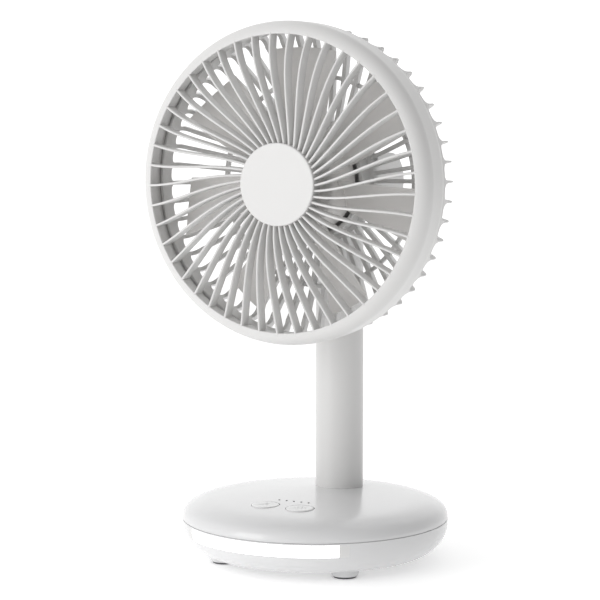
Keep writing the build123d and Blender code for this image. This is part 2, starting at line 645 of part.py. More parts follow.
save(motor_bushings, "motor_bushings")

with BuildPart() as motor_brushes:
    brush_centre = COMMUTATOR_RADIUS + RUN + BRUSH_LENGTH / 2
    with BuildSketch(behind(end_cap_front)):
        with GridLocations(2 * brush_centre, 1, 2, 1):
            Rectangle(BRUSH_LENGTH, BRUSH_WIDTH)
    extrude(amount=COMMUTATOR_LENGTH)

save(motor_brushes, "motor_brushes")

with BuildPart() as motor_screws:
    with BuildSketch(behind(MOTOR_PLATE_DEPTH)):
        with GridLocations(MOTOR_SCREW_SPACING, 1, 2, 1):
            Circle(MOTOR_SCREW_HEAD_RADIUS)
    extrude(amount=MOTOR_SCREW_HEAD)
    with BuildSketch(behind(MOTOR_PLATE_DEPTH - MOTOR_SCREW_HEAD)):
        with GridLocations(MOTOR_SCREW_SPACING, 1, 2, 1):
            Circle(MOTOR_SCREW_RADIUS)
    extrude(amount=MOTOR_PLATE_THICKNESS - MOTOR_SCREW_HEAD + MOTOR_END_THICKNESS - 0.4)

save(motor_screws, "motor_screws")

# ---------------------------------------------------------------- tilt hinge
bracket_back = MOTOR_PLATE_DEPTH + BRACKET_THICKNESS
ear_length = HINGE_HALF - ear_start

with BuildPart() as tilt_bracket:
    extrude(disc(behind(bracket_back), BRACKET_RADIUS), amount=BRACKET_THICKNESS)
    for start in (ear_start, -HINGE_HALF):
        with BuildSketch(hinge_plane(start)):
            Circle(HINGE_RADIUS)
            with Locations(((MOTOR_PLATE_DEPTH - hinge_depth) / 2, 0)):
                Rectangle(hinge_depth - MOTOR_PLATE_DEPTH, 2 * HINGE_RADIUS)
        extrude(amount=ear_length)
    end_edges = tilt_bracket.edges().filter_by(GeomType.CIRCLE).filter_by(
        lambda edge: abs(abs(edge.center().X) - HINGE_HALF) < 0.01)
    chamfer(end_edges, length=0.8)
    for side in (1, -1):
        end = (side * HINGE_HALF, COLUMN_Y, HEAD_HEIGHT)
        outer = Plane(origin=end, x_dir=(0, 1, 0), z_dir=(side, 0, 0))
        extrude(disc(outer, END_CAP_RADIUS), amount=-END_CAP_THICKNESS, mode=Mode.SUBTRACT)
        extrude(disc(outer, PIN_RECESS_RADIUS), amount=PIN_SEAT - HINGE_HALF, mode=Mode.SUBTRACT)
        extrude(disc(outer, PIN_RADIUS), amount=-HINGE_HALF, mode=Mode.SUBTRACT)
    with BuildSketch(behind(bracket_back)):
        with GridLocations(2 * BRACKET_SCREW_X, 2 * BRACKET_SCREW_Z, 2, 2):
            Circle(BRACKET_SCREW_HEAD_RADIUS)
    extrude(amount=BRACKET_SCREW_HEAD, mode=Mode.SUBTRACT)
    with BuildSketch(behind(bracket_back)):
        with GridLocations(2 * BRACKET_SCREW_X, 2 * BRACKET_SCREW_Z, 2, 2):
            Circle(BRACKET_SCREW_RADIUS)
    extrude(amount=BRACKET_THICKNESS, mode=Mode.SUBTRACT)

save(tilt_bracket, "tilt_bracket")

with BuildPart() as bracket_screws:
    with BuildSketch(behind(bracket_back)):
        with GridLocations(2 * BRACKET_SCREW_X, 2 * BRACKET_SCREW_Z, 2, 2):
            Circle(BRACKET_SCREW_HEAD_RADIUS)
    extrude(amount=BRACKET_SCREW_HEAD)
    with BuildSketch(behind(bracket_back - BRACKET_SCREW_HEAD)):
        with GridLocations(2 * BRACKET_SCREW_X, 2 * BRACKET_SCREW_Z, 2, 2):
            Circle(BRACKET_SCREW_RADIUS)
    extrude(amount=BRACKET_THICKNESS - BRACKET_SCREW_HEAD + MOTOR_PLATE_THICKNESS)

save(bracket_screws, "bracket_screws")

with BuildPart() as hinge_pin:
    extrude(disc(hinge_plane(-PIN_SEAT - PIN_HEAD), PIN_RADIUS), amount=2 * PIN_SEAT + PIN_HEAD)
    extrude(disc(hinge_plane(PIN_SEAT), PIN_HEAD_RADIUS), amount=PIN_HEAD)

save(hinge_pin, "hinge_pin")

with BuildPart() as hinge_nut:
    with BuildSketch(hinge_plane(-PIN_SEAT - PIN_HEAD)):
        RegularPolygon(PIN_HEAD_RADIUS, 6)
        Circle(PIN_RADIUS, mode=Mode.SUBTRACT)
    extrude(amount=PIN_HEAD)

save(hinge_nut, "hinge_nut")

with BuildPart() as hinge_washers:
    for start in (ear_start - WASHER_THICKNESS, -ear_start):
        extrude(disc(hinge_plane(start), WASHER_RADIUS, PIN_RADIUS), amount=WASHER_THICKNESS)

save(hinge_washers, "hinge_washers")

with BuildPart() as hinge_end_caps:
    for start in (HINGE_HALF - END_CAP_THICKNESS, -HINGE_HALF):
        extrude(disc(hinge_plane(start), END_CAP_RADIUS), amount=END_CAP_THICKNESS)

save(hinge_end_caps, "hinge_end_caps")

# ---------------------------------------------------------------- column
spigot_radius = COLUMN_RADIUS - COLUMN_WALL - RUN

with BuildPart() as column_knuckle:
    extrude(disc(level(COLUMN_TOP, y=COLUMN_Y), COLUMN_RADIUS), amount=HEAD_HEIGHT - COLUMN_TOP)
    extrude(block(level(COLUMN_TOP, y=COLUMN_Y), 2 * KNUCKLE_HALF, 4 * HINGE_RADIUS),
            amount=HEAD_HEIGHT - COLUMN_TOP, mode=Mode.INTERSECT)
    extrude(disc(hinge_plane(-KNUCKLE_HALF), HINGE_RADIUS), amount=2 * KNUCKLE_HALF)
    extrude(disc(level(COLUMN_TOP, y=COLUMN_Y), spigot_radius), amount=-SPIGOT_LENGTH)
    extrude(disc(level(COLUMN_TOP - SPIGOT_LENGTH, y=COLUMN_Y), LEAD_CHANNEL_RADIUS),
            amount=LEAD_TOP + 1 - COLUMN_TOP + SPIGOT_LENGTH, mode=Mode.SUBTRACT)
    extrude(disc(hinge_plane(-KNUCKLE_HALF), PIN_RADIUS + RUN), amount=2 * KNUCKLE_HALF, mode=Mode.SUBTRACT)

save(column_knuckle, "column_knuckle")

with BuildPart() as column_tube:
    extrude(disc(level(COLUMN_FOOT, y=COLUMN_Y), COLUMN_RADIUS, COLUMN_RADIUS - COLUMN_WALL),
            amount=COLUMN_TOP - COLUMN_FOOT)

save(column_tube, "column_tube")

with BuildPart() as column_flange:
    extrude(disc(level(COLUMN_FOOT, y=COLUMN_Y), FLANGE_RADIUS), amount=-FLANGE_THICKNESS)
    extrude(disc(level(COLUMN_FOOT, y=COLUMN_Y), spigot_radius), amount=FLANGE_SPIGOT_LENGTH)
    extrude(disc(level(COLUMN_FOOT - FLANGE_THICKNESS, y=COLUMN_Y), LEAD_RADIUS),
            amount=FLANGE_THICKNESS + FLANGE_SPIGOT_LENGTH, mode=Mode.SUBTRACT)
    with BuildSketch(level(COLUMN_FOOT, y=COLUMN_Y)):
        with PolarLocations(COLUMN_SCREW_CIRCLE, 4, start_angle=45):
            Circle(COLUMN_SCREW_RADIUS)
    extrude(amount=-FLANGE_THICKNESS, mode=Mode.SUBTRACT)

save(column_flange, "column_flange")

with BuildPart() as column_screws:
    with BuildSketch(level(COLUMN_FOOT - FLANGE_THICKNESS, y=COLUMN_Y)):
        with PolarLocations(COLUMN_SCREW_CIRCLE, 4, start_angle=45):
            Circle(COLUMN_SCREW_HEAD_RADIUS)
    extrude(amount=-COLUMN_SCREW_HEAD)
    with BuildSketch(level(COLUMN_FOOT - FLANGE_THICKNESS, y=COLUMN_Y)):
        with PolarLocations(COLUMN_SCREW_CIRCLE, 4, start_angle=45):
            Circle(COLUMN_SCREW_RADIUS)
    extrude(amount=FLANGE_THICKNESS + COLUMN_SCREW_REACH)

save(column_screws, "column_screws")

with BuildPart() as column_lead:
    extrude(disc(level(LEAD_FOOT, y=COLUMN_Y), LEAD_RADIUS), amount=LEAD_TOP - LEAD_FOOT)

save(column_lead, "column_lead")

# ---------------------------------------------------------------- base shells
turn_centre = (BASE_RADIUS - BASE_TURN, BASE_FLOOR + BASE_TURN)


def lower_wall(inward, height):
    """Point in section on the lower shell's outside, or a distance inside it, at a height."""
    radius = BASE_TURN - inward
    drop = max(0.0, turn_centre[1] - height)
    return (turn_centre[0] + sqrt(radius**2 - drop**2), height)


def wall_band(angle, inward, low, high, thickness):
    """Section of a band that follows the lower shell's wall between two heights."""
    deep = inward + thickness
    centre = turn_centre[1]
    middle = (low + centre) / 2
    with BuildSketch(section_at(angle)) as face:
        with BuildLine():
            ThreePointArc(lower_wall(inward, low), lower_wall(inward, middle), lower_wall(inward, centre))
            Polyline(lower_wall(inward, centre), lower_wall(inward, high), lower_wall(deep, high),
                     lower_wall(deep, centre))
            ThreePointArc(lower_wall(deep, centre), lower_wall(deep, middle), lower_wall(deep, low))
            Line(lower_wall(deep, low), lower_wall(inward, low))
        make_face()
    return face.sketch


def stadium(plane, width, height):
    """Face with round ends, as wide as given over all."""
    with BuildSketch(plane) as face:
        SlotOverall(width, height)
    return face.sketch


strip_start = -90 - STRIP_HALF_ANGLE
ledge_start = -90 - LIGHT_BOARD_HALF_ANGLE
ledge_middle = LIGHT_BOARD_RADIUS + BOARD_THICKNESS / 2
socket_plane = Plane(origin=(0, SOCKET_FACE_Y, SOCKET_Z), x_dir=(-1, 0, 0), z_dir=(0, 1, 0))
charge_board_top = SOCKET_Z - SOCKET_HEIGHT / 2
charge_board_y = SOCKET_FACE_Y - CHARGE_BOARD_INSET - CHARGE_BOARD_SIZE[1] / 2
inner_floor = BASE_FLOOR + BASE_WALL

with BuildPart() as base_lower_shell:
    with BuildSketch(Plane.XZ):
        with BuildLine():
            deep = BASE_TURN - BASE_WALL
            outer_turn = CenterArc(turn_centre, BASE_TURN, -90, 90)
            inner_turn = CenterArc(turn_centre, deep, -90, 90)
            Line((0, BASE_FLOOR), outer_turn @ 0)
            Line((0, inner_floor), inner_turn @ 0)
            Line((0, BASE_FLOOR), (0, inner_floor))
            Polyline(
                outer_turn @ 1,
                (BASE_RADIUS, SEAM_HEIGHT),
                (BASE_RADIUS - BASE_WALL, SEAM_HEIGHT),
                inner_turn @ 1,
            )
        make_face()
    revolve(axis=Axis.Z)
    with BuildSketch(level(BASE_FLOOR + BASE_WALL / 2)):
        with GridLocations(FOOT_SPACING, FOOT_SPACING, 2, 2):
            Circle(FOOT_BOSS_RADIUS)
    extrude(amount=FOOT_BOSS_HEIGHT - BASE_FLOOR - BASE_WALL / 2, taper=FOOT_BOSS_TAPER)
    with BuildSketch(level(BASE_BOSS_SPLIT)):
        with GridLocations(FOOT_SPACING, FOOT_SPACING, 2, 2):
            Circle(BASE_BOSS_RADIUS)
    extrude(amount=inner_floor - BASE_BOSS_SPLIT - 0.5)
    with BuildSketch(section_at(ledge_start)):
        with Locations((ledge_middle, (LIGHT_LEDGE_FOOT + LIGHT_BOARD_HEIGHT[0]) / 2)):
            Rectangle(2 * LIGHT_LEDGE_HALF_WIDTH, LIGHT_BOARD_HEIGHT[0] - LIGHT_LEDGE_FOOT)
    revolve(axis=Axis.Z, revolution_arc=2 * LIGHT_BOARD_HALF_ANGLE)
    with BuildSketch(level(charge_board_top - BOARD_THICKNESS, y=charge_board_y)):
        with GridLocations(CHARGE_POST_SPACING, 1, 2, 1):
            Circle(CHARGE_POST_RADIUS)
    extrude(amount=CHARGE_POST_FOOT - charge_board_top + BOARD_THICKNESS)
    with BuildSketch(level(FOOT_BOSS_HEIGHT)):
        with GridLocations(FOOT_SPACING, FOOT_SPACING, 2, 2):
            Circle(FOOT_RADIUS + RUN)
    extrude(amount=FOOT_THICKNESS - FOOT_BOSS_HEIGHT, mode=Mode.SUBTRACT)
    with BuildSketch(level(FOOT_THICKNESS)):
        with GridLocations(FOOT_SPACING, FOOT_SPACING, 2, 2):
            Circle(BASE_SCREW_HEAD_RADIUS + RUN)
    extrude(amount=BASE_SCREW_HEAD, mode=Mode.SUBTRACT)
    with BuildSketch(level(FOOT_THICKNESS)):
        with GridLocations(FOOT_SPACING, FOOT_SPACING, 2, 2):
            Circle(BASE_SCREW_RADIUS + RUN)
    extrude(amount=BASE_BOSS_SPLIT - FOOT_THICKNESS, mode=Mode.SUBTRACT)
    revolve(wall_band(strip_start, 0, STRIP_LOW, STRIP_HIGH, BASE_WALL), axis=Axis.Z,
            revolution_arc=2 * STRIP_HALF_ANGLE, mode=Mode.SUBTRACT)
    extrude(stadium(socket_plane, SOCKET_WIDTH + 2 * SOCKET_GAP, SOCKET_HEIGHT + 2 * SOCKET_GAP),
            amount=-SOCKET_LENGTH, both=True, mode=Mode.SUBTRACT)

save(base_lower_shell, "base_lower_shell")

crown_drop = CROWN_HEIGHT - CROWN_EDGE[1]
crown_radius = (CROWN_EDGE[0] ** 2 + crown_drop**2) / (2 * crown_drop)


def dome_arc(inward):
    """Arc over the base's top, its centre on the base's axis, at a distance below the surface."""
    sweep = degrees(asin(CROWN_EDGE[0] / crown_radius))
    return CenterArc((0, CROWN_HEIGHT - inward - crown_radius), crown_radius, 90 - sweep, sweep)


button_flange_radius = BUTTON_RADIUS + BUTTON_FLANGE
lip_outer = BASE_RADIUS - BASE_WALL - LIP_GAP
lip_inner = lip_outer - LIP_WIDTH
groove_radius = BASE_RADIUS - SEAM_GROOVE[0]
groove_top = SEAM_HEIGHT + SEAM_GROOVE[1]

with BuildPart() as base_upper_shell:
    with BuildSketch(Plane.XZ):
        with BuildLine():
            shoulder = Spline((BASE_RADIUS, groove_top), SHOULDER, CROWN_EDGE, tangents=[(0, 1), (-1, 0.06)])
            dome_arc(0)
            Line((0, CROWN_HEIGHT), (0, CROWN_HEIGHT - BASE_WALL))
            dome_arc(BASE_WALL)
            Spline(
                (CROWN_EDGE[0], CROWN_EDGE[1] - BASE_WALL),
                (SHOULDER[0] - BASE_WALL * 0.7, SHOULDER[1] - BASE_WALL * 0.75),
                (lip_inner, groove_top),
                tangents=[(1, -0.06), (0, -1)],
            )
            Polyline(
                (lip_inner, groove_top),
                (lip_inner, SEAM_HEIGHT - LIP_DROP),
                (lip_outer, SEAM_HEIGHT - LIP_DROP),
                (lip_outer, SEAM_HEIGHT),
                (groove_radius, SEAM_HEIGHT),
                (groove_radius, groove_top),
                (BASE_RADIUS, groove_top),
            )
        make_face()
    revolve(axis=Axis.Z)
    with BuildSketch(section_at(strip_start - 3)):
        with Locations((BASE_RADIUS, SEAM_HEIGHT - LIP_DROP)):
            Rectangle(12, 2 * LIP_DROP)
    revolve(axis=Axis.Z, revolution_arc=2 * STRIP_HALF_ANGLE + 6, mode=Mode.SUBTRACT)
    with BuildSketch(level(BASE_BOSS_SPLIT)):
        with GridLocations(FOOT_SPACING, FOOT_SPACING, 2, 2):
            Circle(BASE_BOSS_RADIUS)
            Circle(BASE_SCREW_RADIUS, mode=Mode.SUBTRACT)
    extrude(until=Until.NEXT)
    with BuildSketch(level(COLUMN_FOOT, y=COLUMN_Y)):
        with PolarLocations(COLUMN_SCREW_CIRCLE, 4, start_angle=45):
            Circle(COLUMN_BOSS_RADIUS)
            Circle(COLUMN_SCREW_RADIUS, mode=Mode.SUBTRACT)
    extrude(until=Until.NEXT)
    with BuildSketch(level(BOARD_UNDERSIDE + BOARD_THICKNESS, y=BOARD_Y)):
        with GridLocations(BOARD_POST_SPACING[0], BOARD_POST_SPACING[1], 2, 2):
            Circle(BOARD_POST_RADIUS)
            Circle(BOARD_SCREW_RADIUS, mode=Mode.SUBTRACT)
    extrude(until=Until.NEXT)
    column_hole = disc(level(COLUMN_FOOT, y=COLUMN_Y), COLUMN_RADIUS + RUN)
    extrude(column_hole, amount=CROWN_HEIGHT, mode=Mode.SUBTRACT)
    with BuildSketch(level(BUTTON_FLANGE_TOP, y=BUTTON_Y)):
        with GridLocations(BUTTON_SPACING, 1, 2, 1):
            Circle(BUTTON_RADIUS + BUTTON_GAP)
        with Locations((0, DOT_Y - BUTTON_Y)):
            with GridLocations(DOT_PITCH, 1, DOT_COUNT, 1):
                Circle(DOT_RADIUS)
    extrude(amount=BUTTON_TOP - BUTTON_FLANGE_TOP + 2, mode=Mode.SUBTRACT)

save(base_upper_shell, "base_upper_shell")

with BuildPart() as light_diffuser:
    revolve(wall_band(strip_start, 0, STRIP_LOW, STRIP_HIGH, BASE_WALL), axis=Axis.Z,
            revolution_arc=2 * STRIP_HALF_ANGLE)
    flange_angle = STRIP_HALF_ANGLE + degrees(STRIP_FLANGE / BASE_RADIUS)
    flange_high = min(STRIP_HIGH + STRIP_FLANGE, SEAM_HEIGHT)
    flange_low = STRIP_LOW - STRIP_FLANGE
    flange = wall_band(-90 - flange_angle, BASE_WALL, flange_low, flange_high, STRIP_FLANGE_THICKNESS)
    revolve(flange, axis=Axis.Z, revolution_arc=2 * flange_angle)

save(light_diffuser, "light_diffuser")

# ---------------------------------------------------------------- inside the base
with BuildPart() as light_board:
    with BuildSketch(section_at(ledge_start)):
        with Locations((ledge_middle, sum(LIGHT_BOARD_HEIGHT) / 2)):
            Rectangle(BOARD_THICKNESS, LIGHT_BOARD_HEIGHT[1] - LIGHT_BOARD_HEIGHT[0])
    revolve(axis=Axis.Z, revolution_arc=2 * LIGHT_BOARD_HALF_ANGLE)

save(light_board, "light_board")

with BuildPart() as light_leds:
    led_face = LIGHT_BOARD_RADIUS + BOARD_THICKNESS
    led_sweep = LIGHT_BOARD_HALF_ANGLE - LED_MARGIN
    led_step = 2 * led_sweep / (LED_COUNT - 1)
    led_height = (STRIP_LOW + STRIP_HIGH) / 2
    for index in range(LED_COUNT):
        angle = -90 - led_sweep + index * led_step
        out = (cos(radians(angle)), sin(radians(angle)), 0)
        seat = Plane(
            origin=((led_face - 0.05) * out[0], (led_face - 0.05) * out[1], led_height),
            x_dir=(-out[1], out[0], 0),
            z_dir=out,
        )
        extrude(block(seat, LED_SIZE[0], LED_SIZE[2]), amount=LED_SIZE[1])
    extrude(disc(level(0), led_face), amount=2 * led_height, mode=Mode.SUBTRACT)

save(light_leds, "light_leds")

with BuildPart() as control_board:
    extrude(block(level(BOARD_UNDERSIDE, y=BOARD_Y), *BOARD_SIZE), amount=BOARD_THICKNESS)
    with BuildSketch(level(BOARD_UNDERSIDE, y=BOARD_Y)):
        with GridLocations(BOARD_POST_SPACING[0], BOARD_POST_SPACING[1], 2, 2):
            Circle(BOARD_SCREW_RADIUS)
    extrude(amount=BOARD_THICKNESS, mode=Mode.SUBTRACT)

save(control_board, "control_board")

board_top = BOARD_UNDERSIDE + BOARD_THICKNESS

with BuildPart() as board_parts:
    with BuildSketch(level(BOARD_UNDERSIDE, y=BOARD_Y)):
        Rectangle(CHIP_SIZE, CHIP_SIZE)
        with Locations((-COIL_PLACE[0], -COIL_PLACE[1]), COIL_PLACE):
            Rectangle(COIL_SIZE[0], COIL_SIZE[1])
    extrude(amount=-CHIP_HEIGHT)
    with BuildSketch(level(board_top, y=DOT_Y)):
        with GridLocations(DOT_PITCH, 1, DOT_COUNT, 1):
            Rectangle(DOT_LED_SIZE, DOT_LED_SIZE)
    extrude(amount=DOT_LED_HEIGHT)

save(board_parts, "board_parts")

with BuildPart() as board_screws:
    with BuildSketch(level(BOARD_UNDERSIDE, y=BOARD_Y)):
        with GridLocations(BOARD_POST_SPACING[0], BOARD_POST_SPACING[1], 2, 2):
            Circle(BOARD_SCREW_HEAD_RADIUS)
    extrude(amount=-BOARD_SCREW_HEAD)
    with BuildSketch(level(BOARD_UNDERSIDE, y=BOARD_Y)):
        with GridLocations(BOARD_POST_SPACING[0], BOARD_POST_SPACING[1], 2, 2):
            Circle(BOARD_SCREW_RADIUS)
    extrude(amount=BOARD_THICKNESS + BOARD_SCREW_REACH)

save(board_screws, "board_screws")

with BuildPart() as button_switches:
    with BuildSketch(level(board_top, y=BUTTON_Y)):
        with GridLocations(BUTTON_SPACING, 1, 2, 1):
            Rectangle(SWITCH_SIZE[0], SWITCH_SIZE[1])
    extrude(amount=SWITCH_SIZE[2])
    with BuildSketch(level(board_top + SWITCH_SIZE[2], y=BUTTON_Y)):
        with GridLocations(BUTTON_SPACING, 1, 2, 1):
            Circle(SWITCH_KEY[0])
    extrude(amount=SWITCH_KEY[1])

save(button_switches, "button_switches")

with BuildPart() as indicator_lights:
    dot_radius_out = sqrt(DOT_Y**2 + (DOT_PITCH * DOT_COUNT / 2) ** 2)
    dot_top = CROWN_HEIGHT - (CROWN_HEIGHT - CROWN_EDGE[1]) * (dot_radius_out / CROWN_EDGE[0]) ** 2
    with BuildSketch(level(dot_top, y=DOT_Y)):
        with GridLocations(DOT_PITCH, 1, DOT_COUNT, 1):
            Circle(DOT_RADIUS)
    extrude(amount=-DOT_LENGTH)

save(indicator_lights, "indicator_lights")

with BuildPart() as battery_tray:
    tray_base = inner_floor + BALLAST_THICKNESS
    tray_length = CELL_LENGTH + 2 * (TRAY_GAP + TRAY_WALL)
    extrude(block(level(tray_base, y=CELL_Y), tray_length, 2 * CELL_RADIUS), amount=TRAY_FLOOR)
    with BuildSketch(level(tray_base + TRAY_FLOOR, y=CELL_Y)):
        with GridLocations(tray_length - TRAY_WALL, 1, 2, 1):
            Rectangle(TRAY_WALL, 2 * CELL_RADIUS)
    extrude(amount=TRAY_WALL_HEIGHT)

save(battery_tray, "battery_tray")

with BuildPart() as battery_cell:
    cell_centre = Plane(
        origin=(-CELL_LENGTH / 2, CELL_Y, tray_base + TRAY_FLOOR + CELL_RADIUS),
        x_dir=(0, 1, 0),
        z_dir=(1, 0, 0),
    )
    extrude(disc(cell_centre, CELL_RADIUS), amount=CELL_LENGTH)

save(battery_cell, "battery_cell")

with BuildPart() as ballast_plate:
    extrude(disc(level(inner_floor), BALLAST_RADIUS), amount=BALLAST_THICKNESS)

save(ballast_plate, "ballast_plate")

with BuildPart() as charging_board:
    extrude(block(level(charge_board_top, y=charge_board_y), *CHARGE_BOARD_SIZE), amount=-BOARD_THICKNESS)

save(charging_board, "charging_board")

with BuildPart() as charging_socket:
    extrude(stadium(socket_plane, SOCKET_WIDTH, SOCKET_HEIGHT), amount=-SOCKET_LENGTH)
    extrude(stadium(socket_plane, SOCKET_WIDTH - 2 * SOCKET_WALL, SOCKET_HEIGHT - 2 * SOCKET_WALL),
            amount=SOCKET_WALL - SOCKET_LENGTH, mode=Mode.SUBTRACT)
    tongue_seat = socket_plane.offset(SOCKET_WALL - SOCKET_LENGTH - 0.1)
    extrude(block(tongue_seat, SOCKET_TONGUE[0], SOCKET_TONGUE[1]), amount=SOCKET_TONGUE[2] + 0.1)

save(charging_socket, "charging_socket")

with BuildPart() as base_screws:
    screw_seat = FOOT_THICKNESS + BASE_SCREW_HEAD
    with BuildSketch(level(screw_seat)):
        with GridLocations(FOOT_SPACING, FOOT_SPACING, 2, 2):
            Circle(BASE_SCREW_HEAD_RADIUS)
    extrude(amount=-BASE_SCREW_HEAD)
    with BuildSketch(level(screw_seat)):
        with GridLocations(FOOT_SPACING, FOOT_SPACING, 2, 2):
            Circle(BASE_SCREW_RADIUS)
    extrude(amount=BASE_SCREW_TOP - screw_seat)

save(base_screws, "base_screws")

with BuildPart() as foot_pads:
    with BuildSketch(level(0)):
        with GridLocations(FOOT_SPACING, FOOT_SPACING, 2, 2):
            Circle(FOOT_RADIUS)
    extrude(amount=FOOT_THICKNESS)
    fillet(foot_pads.edges().filter_by(GeomType.CIRCLE).group_by(Axis.Z)[0], radius=0.5)

save(foot_pads, "foot_pads")


# ---------------------------------------------------------------- buttons
def button_blank(x):
    """Faces and heights that both buttons share."""
    with BuildPart() as blank:
        flange_top = level(BUTTON_FLANGE_TOP, x, BUTTON_Y)
        flange_foot = level(BUTTON_FLANGE_TOP - BUTTON_FLANGE_THICKNESS, x, BUTTON_Y)
        extrude(disc(flange_top, BUTTON_RADIUS), amount=BUTTON_TOP - BUTTON_FLANGE_TOP)
        fillet(blank.edges().filter_by(GeomType.CIRCLE).sort_by(Axis.Z)[-1], radius=BUTTON_ROUND)
        extrude(disc(flange_top, button_flange_radius), amount=-BUTTON_FLANGE_THICKNESS)
        extrude(disc(flange_foot, BUTTON_STEM[0]), amount=-BUTTON_STEM[1])
    return blank.part


with BuildPart() as fan_button:
    add(button_blank(-BUTTON_SPACING / 2))
    with BuildSketch(level(BUTTON_TOP, -BUTTON_SPACING / 2, BUTTON_Y)):
        with PolarLocations(PETAL_CIRCLE, PETAL_COUNT, start_angle=90):
            Ellipse(PETAL_SIZE[0], PETAL_SIZE[1])
        Circle(PETAL_HUB_RADIUS, mode=Mode.SUBTRACT)
    extrude(amount=-BUTTON_ICON_DEPTH, mode=Mode.SUBTRACT)

save(fan_button, "fan_button")

with BuildPart() as light_button:
    add(button_blank(BUTTON_SPACING / 2))
    with BuildSketch(level(BUTTON_TOP, BUTTON_SPACING / 2, BUTTON_Y)):
        Circle(SUN_RADII[0])
        Circle(SUN_RADII[1], mode=Mode.SUBTRACT)
        with PolarLocations(RAY_CIRCLE, RAY_COUNT):
            Rectangle(RAY_SIZE[0], RAY_SIZE[1])
    extrude(amount=-BUTTON_ICON_DEPTH, mode=Mode.SUBTRACT)

save(light_button, "light_button")
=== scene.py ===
"""Desk fan, seen in a white studio: finishes, and the visible shells, guards and blades as fine surfaces."""
import json
from math import pi, radians, tan

import bpy
import numpy as np
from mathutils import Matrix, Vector


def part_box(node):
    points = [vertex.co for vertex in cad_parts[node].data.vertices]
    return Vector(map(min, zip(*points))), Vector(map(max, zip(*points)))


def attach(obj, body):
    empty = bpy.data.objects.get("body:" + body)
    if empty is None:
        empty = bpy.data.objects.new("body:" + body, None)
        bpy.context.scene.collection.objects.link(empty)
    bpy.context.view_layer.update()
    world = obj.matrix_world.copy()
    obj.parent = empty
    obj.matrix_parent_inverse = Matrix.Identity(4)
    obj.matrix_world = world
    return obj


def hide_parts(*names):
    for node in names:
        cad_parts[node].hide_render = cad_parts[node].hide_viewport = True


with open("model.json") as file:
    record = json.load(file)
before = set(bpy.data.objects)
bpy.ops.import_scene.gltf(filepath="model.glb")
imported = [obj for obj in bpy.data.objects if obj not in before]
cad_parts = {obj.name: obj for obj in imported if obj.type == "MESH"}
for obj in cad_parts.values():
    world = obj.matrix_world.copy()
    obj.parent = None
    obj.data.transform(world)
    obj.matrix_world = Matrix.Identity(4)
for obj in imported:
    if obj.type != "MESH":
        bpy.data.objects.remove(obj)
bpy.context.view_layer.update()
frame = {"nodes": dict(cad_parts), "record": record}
nodes = frame["nodes"]
MM = 0.001
SHELL_WHITE = (0.69, 0.685, 0.678)
LIT_HALF_ANGLE = 37.3       # of the glow in the light strip, in degrees either side of the front
GLOW_EDGE = 4000.0          # the glow fades out over one metre divided by this

# ---------------------------------------------------------------- places read from the frame, in millimetres
CAP_STANDS_OUT = 2.0        # of the cap's face in front of the ring's inner edge
RING_WIDTH = 7.0            # from the opening to the ring's outside
guard_low, guard_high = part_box("front_guard")
rear_low, rear_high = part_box("rear_guard")
HEAD_Z = (guard_low.z + guard_high.z) / 2 / MM
FACE_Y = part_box("centre_cap")[0].y / MM + CAP_STANDS_OUT
RING_RADIUS = (guard_high.x - guard_low.x) / 2 / MM
OPENING = RING_RADIUS - RING_WIDTH
FIN_RADIUS = (rear_high.z - rear_low.z) / 2 / MM
PLATE_BACK = rear_high.y / MM - FACE_Y


# ---------------------------------------------------------------- shader expressions
class Value:
    """A shader socket, so that masks are written as sums and products."""

    def __init__(self, shader, socket):
        self.shader = shader
        self.socket = socket

    def _maths(self, operation, *values, clamp=False):
        return self.shader.add("ShaderNodeMath", {"operation": operation, "use_clamp": clamp}, values)

    def __add__(self, other):
        return self._maths("ADD", self, other)

    __radd__ = __add__

    def __mul__(self, other):
        return self._maths("MULTIPLY", self, other)

    __rmul__ = __mul__

    def __sub__(self, other):
        return self._maths("SUBTRACT", self, other)

    def __rsub__(self, other):
        return self._maths("SUBTRACT", other, self)

    def __abs__(self):
        return self._maths("ABSOLUTE", self)

    def clamped(self):
        """The value, held between nought and one."""
        return self._maths("ADD", self, 0.0, clamp=True)


